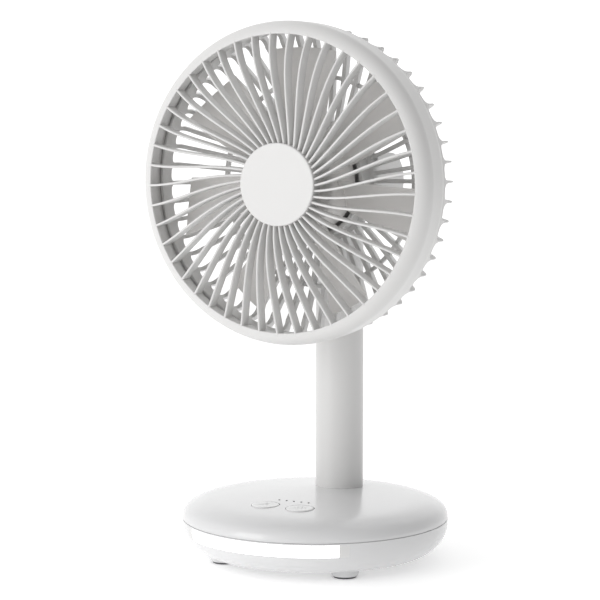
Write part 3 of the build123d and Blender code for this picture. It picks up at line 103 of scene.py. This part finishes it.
class Shader:
    def __init__(self, owner, coordinates="Object"):
        """owner is the material or world, coordinates the kind of place its patterns are drawn on."""
        self.owner = owner
        self.owner.use_nodes = True
        self.tree = owner.node_tree
        self.place = self.add("ShaderNodeTexCoord", output=coordinates)

    def add(self, kind, settings=None, inputs=(), output=0):
        """Place a node, apply its settings, then fill its sockets by order or by name."""
        node = self.tree.nodes.new(kind)
        for key, value in (settings or {}).items():
            setattr(node, key, value)
        pairs = inputs.items() if isinstance(inputs, dict) else enumerate(inputs)
        for key, value in pairs:
            self.fill(node.inputs[key], value)
        return Value(self, node.outputs[output])

    def fill(self, socket, value):
        """Link a value to a socket, or set the socket when it is a plain number, vector or colour."""
        if isinstance(value, Value):
            self.tree.links.new(value.socket, socket)
            return
        size = len(socket.default_value) if hasattr(socket.default_value, "__len__") else 0
        if size and not hasattr(value, "__len__"):
            value = [value] * size
        elif size == 4 and len(value) == 3:
            value = (*value, 1.0)
        socket.default_value = value

    def noise(self, scale, detail=2.0, roughness=0.5):
        """Cloudy grey pattern with a mean of one half, at a number of cells per metre."""
        inputs = {"Vector": self.place, "Scale": scale, "Detail": detail, "Roughness": roughness}
        return self.add("ShaderNodeTexNoise", inputs=inputs)

    def between(self, mask, low, high):
        """Mix of two colours by a mask. The node's colour sockets are its numbers 6 and 7, its result is 2."""
        return self.add("ShaderNodeMix", {"data_type": "RGBA"}, {0: mask, 6: low, 7: high}, output=2)

    def bump(self, height, distance):
        """Normal that follows a height pattern, distance in metres."""
        return self.add("ShaderNodeBump", inputs={"Height": height, "Distance": distance})

    def finish(self, **sockets):
        """Fill the surface's sockets, their names written with underscores."""
        surface = self.tree.nodes["Principled BSDF"]
        for key, value in sockets.items():
            name = key.replace("_", " ").title().replace("Ior", "IOR")
            self.fill(surface.inputs[name], value)
        return self.owner


def new_shader(name):
    """Nodes of a new material."""
    return Shader(bpy.data.materials.new(name))


def moulded_plastic(name, colour, roughness, grain=0.010, coat=0.0):
    """Moulded ABS: a faint cloud in colour and gloss, and the fine grain of a polished mould."""
    shader = new_shader(name)
    cloud = shader.noise(38.0, 3.0)
    flow = shader.noise(160.0, 2.0)
    speck = shader.noise(2600.0, 2.0, 0.6)
    deep = tuple(channel * 0.975 for channel in colour)
    return shader.finish(
        base_color=shader.between(cloud * 0.8 + flow * 0.2, deep, colour),
        roughness=(cloud - 0.5) * 0.05 + (speck - 0.5) * 0.06 + roughness,
        normal=shader.bump(speck + flow * 0.6, grain * MM),
        ior=1.52,
        coat_weight=coat,
        coat_roughness=0.12,
    )


def lit_diffuser(name):
    """Frosted strip with lamps behind it: a nearly even white glow. It ends a little before the strip does,
    where the side place over the forward place passes the tangent of the glow's half angle."""
    shader = new_shader(name)
    cloud = shader.noise(90.0, 1.0)
    side = shader.add("ShaderNodeSeparateXYZ", inputs=[shader.place], output="X")
    forward = shader.add("ShaderNodeSeparateXYZ", inputs=[shader.place], output="Y")
    lit = ((forward * -tan(radians(LIT_HALF_ANGLE)) - abs(side)) * GLOW_EDGE).clamped()
    return shader.finish(
        base_color=shader.between(lit, SHELL_WHITE, (0.95, 0.95, 0.95)),
        roughness=(cloud - 0.5) * 0.08 + 0.45,
        emission_color=shader.between(lit * (cloud * 0.06 + 0.94), (0.0, 0.0, 0.0), (1.0, 1.0, 1.0)),
        emission_strength=1.6,
    )


def rubber(name, colour):
    """Matt moulded rubber with a dusty bloom."""
    shader = new_shader(name)
    dust = shader.noise(420.0, 4.0, 0.65)
    grain = shader.noise(3000.0, 2.0)
    pale = tuple(min(1.0, channel * 1.9 + 0.02) for channel in colour)
    return shader.finish(
        base_color=shader.between((dust * 1.5 - 0.35).clamped(), colour, pale),
        roughness=(grain - 0.5) * 0.15 + 0.72,
        normal=shader.bump(grain, 0.03 * MM),
    )


def worked_metal(name, colour, roughness, stretch=(1.0, 1.0, 18.0)):
    """Plated or ground metal with fine lines along one way and a little wear in its gloss."""
    shader = new_shader(name)
    turned = shader.add("ShaderNodeMapping", inputs={"Vector": shader.place, "Scale": stretch})
    line = shader.add("ShaderNodeTexNoise", inputs={"Vector": turned, "Scale": 900.0, "Detail": 2.0})
    wear = shader.noise(220.0, 3.0)
    dull = tuple(channel * 0.82 for channel in colour)
    return shader.finish(
        base_color=shader.between(wear, dull, colour),
        metallic=1.0,
        roughness=(line - 0.5) * 0.18 + (wear - 0.5) * 0.1 + roughness,
        normal=shader.bump(line, 0.004 * MM),
    )


def circuit_resist(name):
    """Green solder resist over faint copper runs."""
    shader = new_shader(name)
    bricks = {"Vector": shader.place, "Scale": 300.0, "Mortar Size": 0.03}
    runs = shader.add("ShaderNodeTexBrick", inputs=bricks, output=1)
    cloud = shader.noise(500.0)
    copper = (runs * 0.6 + cloud * 0.2).clamped()
    return shader.finish(
        base_color=shader.between(copper, (0.018, 0.12, 0.05), (0.06, 0.26, 0.12)),
        roughness=(cloud - 0.5) * 0.1 + 0.34,
        normal=shader.bump(runs, 0.02 * MM),
    )


def plain_moulding(name, colour, roughness):
    """Small inner mouldings, sleeves and wraps: slight clouding and a soft grain."""
    shader = new_shader(name)
    cloud = shader.noise(300.0, 3.0)
    grain = shader.noise(2400.0)
    deep = tuple(channel * 0.85 for channel in colour)
    return shader.finish(
        base_color=shader.between(cloud, deep, colour),
        roughness=(grain - 0.5) * 0.12 + roughness,
        normal=shader.bump(grain, 0.01 * MM),
    )


def wound_wire(name, colour):
    """Enamelled copper wire, laid in rows."""
    shader = new_shader(name)
    wave = {"Vector": shader.place, "Scale": 1400.0}
    rows = shader.add("ShaderNodeTexWave", {"bands_direction": "Y"}, wave, output=1)
    cloud = shader.noise(300.0)
    dull = tuple(channel * 0.6 for channel in colour)
    return shader.finish(
        base_color=shader.between(rows, dull, colour),
        metallic=0.9,
        roughness=(cloud - 0.5) * 0.1 + 0.35,
        normal=shader.bump(rows, 0.05 * MM),
    )


finishes = {
    "guard_white": moulded_plastic("guard_white", SHELL_WHITE, 0.34),
    "head_white": moulded_plastic("head_white", SHELL_WHITE, 0.38),
    "blade_white": moulded_plastic("blade_white", (0.79, 0.775, 0.76), 0.36),
    "column_white": moulded_plastic("column_white", SHELL_WHITE, 0.36),
    "base_white": moulded_plastic("base_white", (0.68, 0.68, 0.685), 0.24, grain=0.004, coat=0.35),
    "button_white": moulded_plastic("button_white", (0.83, 0.83, 0.83), 0.36),
    "inner_plastic": plain_moulding("inner_plastic", (0.72, 0.72, 0.70), 0.5),
    "light_strip": lit_diffuser("light_strip"),
    "light_pipe": plain_moulding("light_pipe", (0.05, 0.05, 0.055), 0.3),
    "led_package": plain_moulding("led_package", (0.90, 0.84, 0.50), 0.3),
    "circuit_board": circuit_resist("circuit_board"),
    "dark_component": plain_moulding("dark_component", (0.035, 0.035, 0.04), 0.45),
    "foot_rubber": rubber("foot_rubber", (0.06, 0.06, 0.065)),
    "screw_steel": worked_metal("screw_steel", (0.66, 0.66, 0.68), 0.34),
    "shaft_steel": worked_metal("shaft_steel", (0.58, 0.58, 0.60), 0.26, (1.0, 18.0, 1.0)),
    "plated_shell": worked_metal("plated_shell", (0.70, 0.70, 0.71), 0.3, (1.0, 12.0, 1.0)),
    "magnet_grey": plain_moulding("magnet_grey", (0.10, 0.10, 0.11), 0.6),
    "winding_copper": wound_wire("winding_copper", (0.75, 0.36, 0.18)),
    "bearing_bronze": worked_metal("bearing_bronze", (0.58, 0.42, 0.24), 0.42),
    "brush_carbon": plain_moulding("brush_carbon", (0.04, 0.04, 0.04), 0.6),
    "ballast_steel": worked_metal("ballast_steel", (0.40, 0.40, 0.41), 0.5),
    "cell_wrap": plain_moulding("cell_wrap", (0.07, 0.20, 0.42), 0.28),
    "lead_sheath": plain_moulding("lead_sheath", (0.75, 0.75, 0.74), 0.5),
}
slot_of = {item["node"]: item["material_slot"] for item in frame["record"]["subparts"]}
for name, piece in nodes.items():
    piece.data.materials.clear()
    piece.data.materials.append(finishes[slot_of[name]])


# ---------------------------------------------------------------- outlines and surfaces
def arc(start, middle, end, steps=8):
    """Points on the circle through three points: its centre is where their right bisectors meet."""
    a, b, c = (np.array(point, float) for point in (start, middle, end))
    system = 2 * np.array([b - a, c - a])
    centre = np.linalg.solve(system, np.array([b @ b - a @ a, c @ c - a @ a]))
    first, half, last = (np.arctan2(*(point - centre)[::-1]) for point in (a, b, c))
    half = first + (half - first + pi) % (2 * pi) - pi
    last = half + (last - half + pi) % (2 * pi) - pi
    turn = np.linspace(first, last, steps + 1)
    return centre + np.linalg.norm(a - centre) * np.stack([np.cos(turn), np.sin(turn)], 1)


def rounded(corners, radii, steps=4):
    """Closed outline with a soft bend at each corner: a curve drawn between the points that lie a radius
    before and after the corner, with the corner as its control point."""
    corners = np.array(corners, float)
    radii = np.broadcast_to(np.array(radii, float), len(corners))
    before = np.roll(corners, 1, 0) - corners
    after = np.roll(corners, -1, 0) - corners
    before /= np.linalg.norm(before, axis=1)[:, None]
    after /= np.linalg.norm(after, axis=1)[:, None]
    share = np.linspace(0, 1, steps + 1)[None, :, None]
    start = (corners + before * radii[:, None])[:, None]
    end = (corners + after * radii[:, None])[:, None]
    bend = start * (1 - share) ** 2 + 2 * corners[:, None] * share * (1 - share) + end * share**2
    return bend.reshape(-1, 2)


def grid_faces(rows, columns, wrap_rows=False, wrap_columns=True):
    """Four-sided faces of a grid of points, joined back to its start along either way."""
    row = np.arange(rows if wrap_rows else rows - 1)[:, None]
    column = np.arange(columns if wrap_columns else columns - 1)[None, :]
    below = (row + 1) % rows
    beside = (column + 1) % columns
    corners = [row * columns + column, row * columns + beside,
               below * columns + beside, below * columns + column]
    return np.stack(np.broadcast_arrays(*corners), -1).reshape(-1, 4)


def head_point(radius, angle, depth):
    """Metres in the frame from a radius, an angle and a depth in millimetres and radians about the fan axis."""
    radius, angle, depth = np.broadcast_arrays(radius, angle, depth)
    place = [radius * np.cos(angle), FACE_Y + depth, HEAD_Z + radius * np.sin(angle)]
    return np.stack(place, -1) * MM


def turned(outline, steps=256):
    """Closed ring: an outline of radius and depth carried round the fan axis."""
    angle = np.linspace(0, 2 * pi, steps, endpoint=False)[:, None]
    points = head_point(outline[None, :, 0], angle, outline[None, :, 1])
    return points.reshape(-1, 3), grid_faces(steps, len(outline), wrap_rows=True)


def copies(points, phase, count):
    """Bars of one shape set round the fan axis. points holds radius, side and depth on a grid of stations
    along the bar and places round its section, side being square to the radius."""
    stations, around = points.shape[:2]
    reach = np.hypot(points[..., 0], points[..., 1])
    lean = np.arctan2(points[..., 1], points[..., 0])
    spin = phase + np.arange(count)[:, None, None] * 2 * pi / count
    places = head_point(reach[None], lean[None] + spin, points[None, ..., 2]).reshape(-1, 3)
    faces = grid_faces(stations, around)
    start = np.arange(count)[:, None, None] * stations * around
    walls = (faces[None] + start).reshape(-1, 4)
    first = np.arange(around)
    last = first + (stations - 1) * around
    middle = around // 2
    ends = [np.stack([cap[:middle - 1], cap[1:middle], cap[::-1][1:middle], cap[::-1][:middle - 1]], -1)
            for cap in (first, last)]
    ends[1] = ends[1][:, ::-1]
    caps = (np.concatenate(ends)[None] + start).reshape(-1, 4)
    return places, np.concatenate([walls, caps])


def outward(points, faces):
    """Faces turned over where the closed surface's volume comes out below nothing."""
    a, b, c, d = (points[faces[:, corner]] for corner in range(4))
    volume = np.einsum("ij,ij->", a, np.cross(b, c)) + np.einsum("ij,ij->", a, np.cross(c, d))
    return faces if volume > 0 else faces[:, ::-1]


def make_piece(name, parts, body, slot, replaced, crease=38.0):
    """One object from several closed surfaces, its edges kept crisp where they turn by more than crease."""
    points = np.concatenate([part[0] for part in parts])
    starts = np.cumsum([0] + [len(part[0]) for part in parts])
    faces = np.concatenate([outward(*part) + start for part, start in zip(parts, starts)])
    mesh = bpy.data.meshes.new(name)
    mesh.from_pydata(points, [], faces)
    mesh.polygons.foreach_set("use_smooth", np.ones(len(faces), bool))
    mesh.set_sharp_from_angle(angle=radians(crease))
    mesh.materials.append(finishes[slot])
    mesh.update()
    piece = bpy.data.objects.new(name, mesh)
    bpy.context.scene.collection.objects.link(piece)
    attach(piece, body)
    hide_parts(*replaced)
    return piece


# ---------------------------------------------------------------- front guard
POLE = 0.02                 # hole left where an outline comes to the axis
RING_NOSE_END = 9.5         # depths along the ring's outside: end of its full front,
RING_TAIL_START = 18.5      # start of its turned-in rear edge,
RING_TAIL_BEND = 21.5       # middle of that edge
RING_BACK = 24.2            # and its end
GROOVE_OUTSIDE = OPENING + 4.4
GROOVE_INSIDE = OPENING + 1.8
GROOVE_FRONT = 5.6
RING_WALL_BACK = 7.6        # depth of the wall inside the groove
HUB_RADIUS = 22.0
RIB_COUNT = 45
RIB_PHASE = radians(5.4)
RIB_SWIRL = radians(25.3)
RIB_SWIRL_POWER = 2.03
RIB_THICKNESS = 1.25
RIB_DEPTH = 7.2
RIB_REAR_EDGE = 0.25
RIB_HUB_RISE = 0.8
RIB_RISE = 4.9
RIB_RISE_RADIUS = OPENING - 30.0
RIB_STATIONS = 30
SEAT_RIM = -0.4             # depths of the cap's seat: its rim,
SEAT_FLOOR = 4.6            # the floor the cap is pressed against
SEAT_BACK = 6.4             # and the back of that floor
SEAT_RADIUS = 18.75


def front_ring_outline():
    """Radius and depth round the ring: a full front, a straight side and the groove for the rear guard."""
    nose = arc((OPENING + 0.25, 0.12), (RING_RADIUS - 2.3, 2.5), (RING_RADIUS, RING_NOSE_END), 22)
    tail_end = (RING_RADIUS - 1.3, RING_BACK)
    tail = arc((RING_RADIUS, RING_TAIL_START), (RING_RADIUS - 0.35, RING_TAIL_BEND), tail_end)
    groove = [(GROOVE_OUTSIDE, RING_BACK), (GROOVE_OUTSIDE, GROOVE_FRONT), (GROOVE_INSIDE, GROOVE_FRONT),
              (GROOVE_INSIDE, RING_WALL_BACK - 0.1), (GROOVE_INSIDE - 0.2, RING_WALL_BACK),
              (OPENING + 0.3, RING_WALL_BACK), (OPENING, RING_WALL_BACK - 0.3), (OPENING, 0.35)]
    return np.concatenate([nose, tail, groove])


def swept_rib():
    """A bar from the hub to the ring. Its middle line turns back by the swirl times a power of one minus its
    radius over the opening's, its front edge is an arc that domes forward, and its section is a strip with a
    half-round front edge and a lightly rounded rear one."""
    radius = np.linspace(HUB_RADIUS - 0.6, OPENING + 0.9, RIB_STATIONS)
    dome = arc((HUB_RADIUS, -RIB_HUB_RISE), (RIB_RISE_RADIUS, -RIB_RISE), (OPENING, 0.0), 60)
    front = np.interp(radius, dome[:, 0], dome[:, 1])
    inward = np.clip(1 - radius / OPENING, 0, None)
    turn = -RIB_SWIRL * inward**RIB_SWIRL_POWER
    along, side = radius * np.cos(turn), radius * np.sin(turn)
    slope = np.arctan2(np.gradient(side), np.gradient(along))
    half = RIB_THICKNESS / 2
    bend = np.linspace(0, pi, 7)
    front_edge = np.stack([half * np.cos(bend), half - half * np.sin(bend)], 1)
    rear_edge = [(-half, RIB_DEPTH - RIB_REAR_EDGE), (-half + RIB_REAR_EDGE, RIB_DEPTH),
                 (half - RIB_REAR_EDGE, RIB_DEPTH), (half, RIB_DEPTH - RIB_REAR_EDGE), (half, RIB_DEPTH / 2)]
    section = np.concatenate([front_edge, rear_edge])
    across, back = section[:, 0], section[:, 1]
    return np.stack([
        along[:, None] - across * np.sin(slope)[:, None],
        side[:, None] + across * np.cos(slope)[:, None],
        front[:, None] + back + 0 * across,
    ], -1)


def hub_seat_outline():
    """Shallow cup in the middle of the guard that the cap is pressed into."""
    corners = [(POLE, SEAT_BACK), (HUB_RADIUS, SEAT_BACK), (HUB_RADIUS, SEAT_RIM), (SEAT_RADIUS, SEAT_RIM),
               (SEAT_RADIUS, SEAT_FLOOR), (POLE, SEAT_FLOOR)]
    return rounded(corners, (POLE / 2, 0.5, 0.15, 0.2, 0.3, POLE / 2))


make_piece("front_guard_moulding",
           [turned(front_ring_outline(), 360), copies(swept_rib(), RIB_PHASE, RIB_COUNT),
            turned(hub_seat_outline(), 128)],
           "head", "guard_white", ["front_guard"])


# ---------------------------------------------------------------- rear guard
FIN_COUNT = 50
FIN_PHASE = radians(1.2)
FIN_ROOT = 2.3              # thickness at the inner edge
FIN_TIP = 1.1               # thickness at the outer edge
FIN_FRONT = 24.9            # depths along a fin: where it leaves the skirt,
CORNER_START = 36.0         # where its outer corner starts
CORNER_END = 39.2           # and ends
CORNER_MIDDLE = (FIN_RADIUS - 0.85, 38.25)
CORNER_INSET = 3.2          # of the corner's end from the fin's outside
BACK_MIDDLE = (58.0, 49.0)  # radius and depth halfway along a fin's back, and where it meets the plate
BACK_END = (32.4, PLATE_BACK - 0.1)
INNER_BACK_MIDDLE = (56.5, 43.6)
INNER_BACK_END = (30.6, 48.6)
FIN_EDGE = 0.25             # bevel of the inner edge
SKIRT_RADIUS = RING_RADIUS - 4.5
INNER_CORNER = ((SKIRT_RADIUS, 31.2), (SKIRT_RADIUS - 1.0, 33.3), (OPENING - 2.0, 34.6))
SKIRT_OUTSIDE = RING_RADIUS - 2.9
SKIRT_FRONT = 17.0
SKIRT_STEP = 24.7           # depth where the skirt widens to the fins behind the ring
SKIRT_BEVEL = 0.3
SLOT_BEVEL = 0.4
SLOT_START = 26.8
SLOT_ROUND = 3.7
SLOT_STEPS = 24             # points along the skirt's wavy edge from one fin to the next
MIDDLE_RING = (56.4, 58.6, 45.8, 48.8)      # inside, outside, front, back
MIDDLE_RING_EDGE = 0.45
SHAFT_HOLE = 3.8            # radii of the motor plate: its hole,
PLATE_RADIUS = 33.4         # its rim,
CUP_OUTSIDE = 31.0          # and the cup round the motor
CUP_INSIDE = 28.6
PLATE_RIM_FRONT = 48.0      # depths of the plate's rim and of the cup's edge
CUP_FRONT = 38.5
PLATE_THICKNESS = 2.5


def skirt_band():
    """Band inside the front ring. Its rear edge waves: flat in the middle of each slot between two fins, and
    from there a quarter circle to each fin."""
    steps = FIN_COUNT * SLOT_STEPS
    angle = np.linspace(0, 2 * pi, steps, endpoint=False)
    pitch = 2 * pi / FIN_COUNT
    across = np.abs((angle - FIN_PHASE) % pitch - pitch / 2) * FIN_RADIUS
    half = pitch / 2 * FIN_RADIUS - FIN_TIP / 2
    into = np.clip(across - (half - SLOT_ROUND), 0, SLOT_ROUND)
    edge = SLOT_START + SLOT_ROUND - np.sqrt(SLOT_ROUND**2 - into**2)
    before_edge = [
        (SKIRT_RADIUS, SKIRT_FRONT + SKIRT_BEVEL), (SKIRT_RADIUS + SKIRT_BEVEL, SKIRT_FRONT),
        (SKIRT_OUTSIDE - SKIRT_BEVEL, SKIRT_FRONT), (SKIRT_OUTSIDE, SKIRT_FRONT + SKIRT_BEVEL),
        (SKIRT_OUTSIDE, SKIRT_STEP), (FIN_RADIUS - SKIRT_BEVEL, SKIRT_STEP),
        (FIN_RADIUS, SKIRT_STEP + SKIRT_BEVEL),
    ]
    on_edge = [(FIN_RADIUS, -SLOT_BEVEL), (FIN_RADIUS - SLOT_BEVEL, 0.0), (SKIRT_RADIUS + SLOT_BEVEL, 0.0),
               (SKIRT_RADIUS, -SLOT_BEVEL)]
    outline = np.array(before_edge + on_edge)
    depth = np.repeat(outline[None, :, 1], steps, 0)
    depth[:, len(before_edge):] += edge[:, None]
    points = head_point(outline[None, :, 0], angle[:, None], depth)
    return points.reshape(-1, 3), grid_faces(steps, len(outline), wrap_rows=True)


def guard_fin():
    """A thin plate that runs back along the guard's side, round its corner and over its back to the motor
    plate. Each station lies between a point of the outer line and a point of the inner one, and the plate
    thickens evenly from its rounded outer edge to its inner edge."""
    corner_end = (FIN_RADIUS - CORNER_INSET, CORNER_END)
    outer = np.concatenate([
        np.linspace((FIN_RADIUS, FIN_FRONT), (FIN_RADIUS, CORNER_START), 6)[:-1],
        arc((FIN_RADIUS, CORNER_START), CORNER_MIDDLE, corner_end)[:-1],
        arc(corner_end, BACK_MIDDLE, BACK_END, 20),
    ])
    inner = np.concatenate([
        np.linspace((SKIRT_RADIUS, FIN_FRONT), INNER_CORNER[0], 6)[:-1],
        arc(*INNER_CORNER)[:-1],
        arc(INNER_CORNER[-1], INNER_BACK_MIDDLE, INNER_BACK_END, 20),
    ])
    tip, root = FIN_TIP / 2, FIN_ROOT / 2
    bend = np.linspace(0, pi, 7)
    share = np.concatenate([0.1 - 0.1 * np.sin(bend), [0.97, 1.0, 1.0, 0.97, 0.5]])
    flat = [-root, FIN_EDGE - root, root - FIN_EDGE, root, (root + tip) / 2]
    side = np.concatenate([tip * np.cos(bend), flat])
    line = outer[:, None] * (1 - share)[None, :, None] + inner[:, None] * share[None, :, None]
    return np.stack([line[..., 0], side[None] + 0 * line[..., 0], line[..., 1]], -1)


def band_outline(inner, outer, front, back):
    """Plain ring with its four edges rounded."""
    return rounded([(inner, front), (outer, front), (outer, back), (inner, back)], MIDDLE_RING_EDGE)


def motor_plate_outline():
    """Plate at the back and the cup round the motor, in one closed outline."""
    front = PLATE_BACK - PLATE_THICKNESS
    corners = [(SHAFT_HOLE, PLATE_BACK), (PLATE_RADIUS, PLATE_BACK), (PLATE_RADIUS, PLATE_RIM_FRONT),
               (CUP_OUTSIDE, PLATE_RIM_FRONT), (CUP_OUTSIDE, CUP_FRONT), (CUP_INSIDE, CUP_FRONT),
               (CUP_INSIDE, front), (SHAFT_HOLE, front)]
    return rounded(corners, (0.2, 0.4, 0.3, 0.3, 0.5, 0.5, 0.3, 0.2))


make_piece("rear_guard_moulding",
           [skirt_band(), copies(guard_fin(), FIN_PHASE, FIN_COUNT),
            turned(band_outline(*MIDDLE_RING), 200), turned(motor_plate_outline(), 160)],
           "head", "guard_white", ["rear_guard"])


# ---------------------------------------------------------------- blades
BLADE_COUNT = 7
BLADE_PHASE = radians(-14.0)
BLADE_TIP = OPENING - 6.5
BLADE_MIDDLE_DEPTH = 25.0
BLADE_THICKNESS = 1.5
BLADE_CAMBER = 2.4
BLADE_EDGE_POWER = 0.38     # the smaller, the blunter the blade's edges
BLADE_WIDTHS = (17.0, 25.0, 33.0)       # across and along the axis, at the root, the middle and the tip
BLADE_HEIGHTS = (19.0, 18.5, 17.0)
BLADE_STATIONS = 26
BLADE_AROUND = 40
ROTOR_RADIUS = 27.0
ROTOR_FRONT = 14.0
ROTOR_BACK = 37.5
ROTOR_WALL = 1.8
SHAFT_RADIUS = 1.02
SHAFT_BOSS_RADIUS = 4.2
SHAFT_BOSS_BACK = 26.0


def fan_blade():
    """A cambered plate from the hub to a round tip. Across the blade the middle line is a parabola over a
    slanting chord; the chord widens with the radius and flattens a little; the edges thin to a round lip."""
    loop = np.linspace(0, 2 * pi, BLADE_AROUND, endpoint=False)
    chordwise = np.cos(loop)
    thickness = BLADE_THICKNESS / 2 * np.sign(np.sin(loop)) * np.abs(np.sin(loop)) ** BLADE_EDGE_POWER
    share = np.linspace(0, 1, BLADE_STATIONS)[:, None]
    root, end = ROTOR_RADIUS - 0.9, BLADE_TIP + 3.0
    stops = (root, (root + end) / 2, end)
    radius = root + share * (BLADE_TIP - root)
    width = np.interp(radius, stops, BLADE_WIDTHS)
    height = np.interp(radius, stops, BLADE_HEIGHTS)
    length = np.hypot(width, height)
    bulge = BLADE_CAMBER * (1 - chordwise**2) + thickness
    side = chordwise * width / 2 + bulge * height / length
    forward = chordwise * height / 2 - bulge * width / length
    reach = root + share * (np.sqrt(BLADE_TIP**2 - side**2) - root)
    return np.stack([reach, side, BLADE_MIDDLE_DEPTH - forward], -1)


def rotor_hub_outline():
    """Cup that carries the blades, with the boss that the shaft is pressed into."""
    inside, floor = ROTOR_RADIUS - ROTOR_WALL, ROTOR_FRONT + ROTOR_WALL
    corners = [(SHAFT_RADIUS, ROTOR_FRONT), (ROTOR_RADIUS, ROTOR_FRONT), (ROTOR_RADIUS, ROTOR_BACK),
               (inside, ROTOR_BACK), (inside, floor), (SHAFT_BOSS_RADIUS, floor),
               (SHAFT_BOSS_RADIUS, SHAFT_BOSS_BACK), (SHAFT_RADIUS, SHAFT_BOSS_BACK)]
    return rounded(corners, (0.1, 3.4, 0.3, 0.3, 0.8, 0.5, 0.3, 0.1), 8)


make_piece("fan_rotor_moulding",
           [copies(fan_blade(), BLADE_PHASE, BLADE_COUNT), turned(rotor_hub_outline(), 160)],
           "rotor", "blade_white", ["fan_blades"], 50.0)


# ---------------------------------------------------------------- charge lamps, in metres
LAMP_COUNT = 5
LAMP_DOME = 0.35 * MM       # height of the round top over the pin
LAMP_POLE = 0.01 * MM
LAMP_STEPS = 16
lamp_low, lamp_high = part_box("indicator_lights")
LAMP_RADIUS = (lamp_high.y - lamp_low.y) / 2


def charge_lamp(centre_x):
    """A round pin with a domed top: an outline of radius and height carried round an upright line."""
    bend = np.linspace(0, pi / 2, 6)
    dome_reach = LAMP_POLE + (LAMP_RADIUS - LAMP_POLE) * np.cos(bend)
    dome = np.stack([dome_reach, lamp_high.z + LAMP_DOME * np.sin(bend)], 1)
    outline = np.concatenate([[(LAMP_POLE, lamp_low.z), (LAMP_RADIUS, lamp_low.z)], dome])
    angle = np.linspace(0, 2 * pi, LAMP_STEPS, endpoint=False)[:, None]
    reach, height = outline[None, :, 0], outline[None, :, 1]
    centre_y = lamp_low.y + LAMP_RADIUS
    places = [centre_x + reach * np.cos(angle), centre_y + reach * np.sin(angle), height + 0 * angle]
    return np.stack(places, -1).reshape(-1, 3), grid_faces(LAMP_STEPS, len(outline), wrap_rows=True)


lamp_places = np.linspace(lamp_low.x + LAMP_RADIUS, lamp_high.x - LAMP_RADIUS, LAMP_COUNT)
make_piece("charge_lamp_row", [charge_lamp(x) for x in lamp_places],
           "stand", "light_pipe", ["indicator_lights"])


# ---------------------------------------------------------------- studio
def aim(obj, place, target):
    """Put a camera or a lamp at a place and turn it to look at a target."""
    obj.location = place
    obj.rotation_euler = (Vector(target) - Vector(place)).to_track_quat("-Z", "Y").to_euler()
    bpy.context.scene.collection.objects.link(obj)


def softbox(name, place, target, size, power):
    """Rectangular area lamp, its two sides in metres and its power in watts."""
    lamp = bpy.data.lights.new(name, "AREA")
    lamp.shape = "RECTANGLE"
    lamp.size, lamp.size_y = size
    lamp.energy = power
    aim(bpy.data.objects.new(name, lamp), place, target)


CAMERA_PLACE = Vector((0.5085, -0.9863, 0.2531))
VIEW_LINE = Vector((-0.46264, 0.88103, -0.09874))
SENSOR_WIDTH = 36.0         # millimetres, as the lens
LENS = 121.75
view = bpy.data.cameras.new("view")
view.sensor_width = SENSOR_WIDTH
view.lens = LENS
view.clip_start = 0.05
camera = bpy.data.objects.new("view", view)
aim(camera, CAMERA_PLACE, CAMERA_PLACE + VIEW_LINE)
bpy.context.scene.camera = camera
bpy.context.scene.view_settings.view_transform = "Standard"

BRIGHT_SIDE = Vector((-0.82, -0.49, 0.30))      # where the white room is brightest
ROOM_LIGHT = 0.60
ROOM_CONTRAST = 0.56
BACK_WALL_LIGHT = 0.85      # more light on the wall behind the fan
FLOOR_RADIUS = 1.5
WINDOW_PLACE = (-1.0, -1.7, 0.45)
WINDOW_SIZE = (0.9, 1.3)
WINDOW_POWER = 9.0
FAN_MIDDLE = (0.0, 0.0, 0.18)


def white_room():
    """White room: its light is a constant, a share of the cosine of the angle from one bright corner, and
    more on the wall behind, as the square of how far a direction points backward."""
    world = bpy.data.worlds.new("studio")
    bpy.context.scene.world = world
    room = Shader(world, "Generated")
    dot = {"operation": "DOT_PRODUCT"}
    cosine = room.add("ShaderNodeVectorMath", dot, [room.place, BRIGHT_SIDE], "Value")
    backward = room.add("ShaderNodeVectorMath", dot, [room.place, (0.0, 1.0, 0.0)], "Value").clamped()
    background = room.tree.nodes["Background"]
    room.fill(background.inputs["Color"], 1.0)
    wall = backward * backward * BACK_WALL_LIGHT
    room.fill(background.inputs["Strength"], cosine * ROOM_CONTRAST + ROOM_LIGHT + wall)


white_room()


def paper_floor(radius):
    """Pale paper ground under the fan, lit a little from below as on a light table."""
    mesh = bpy.data.meshes.new("paper_floor")
    corners = [(-radius, -radius, 0), (radius, -radius, 0), (radius, radius, 0), (-radius, radius, 0)]
    mesh.from_pydata(corners, [], [(0, 1, 2, 3)])
    floor = bpy.data.objects.new("paper_floor", mesh)
    shader = new_shader("paper")
    fibre = shader.noise(700.0, 3.0)
    mesh.materials.append(shader.finish(
        base_color=shader.between(fibre, (0.97, 0.97, 0.97), (0.99, 0.99, 0.99)),
        roughness=(fibre - 0.5) * 0.1 + 0.8,
        emission_color=(1.0, 1.0, 1.0),
        emission_strength=0.3,
    ))
    bpy.context.scene.collection.objects.link(floor)


paper_floor(FLOOR_RADIUS)
softbox("front_window", WINDOW_PLACE, FAN_MIDDLE, WINDOW_SIZE, WINDOW_POWER)
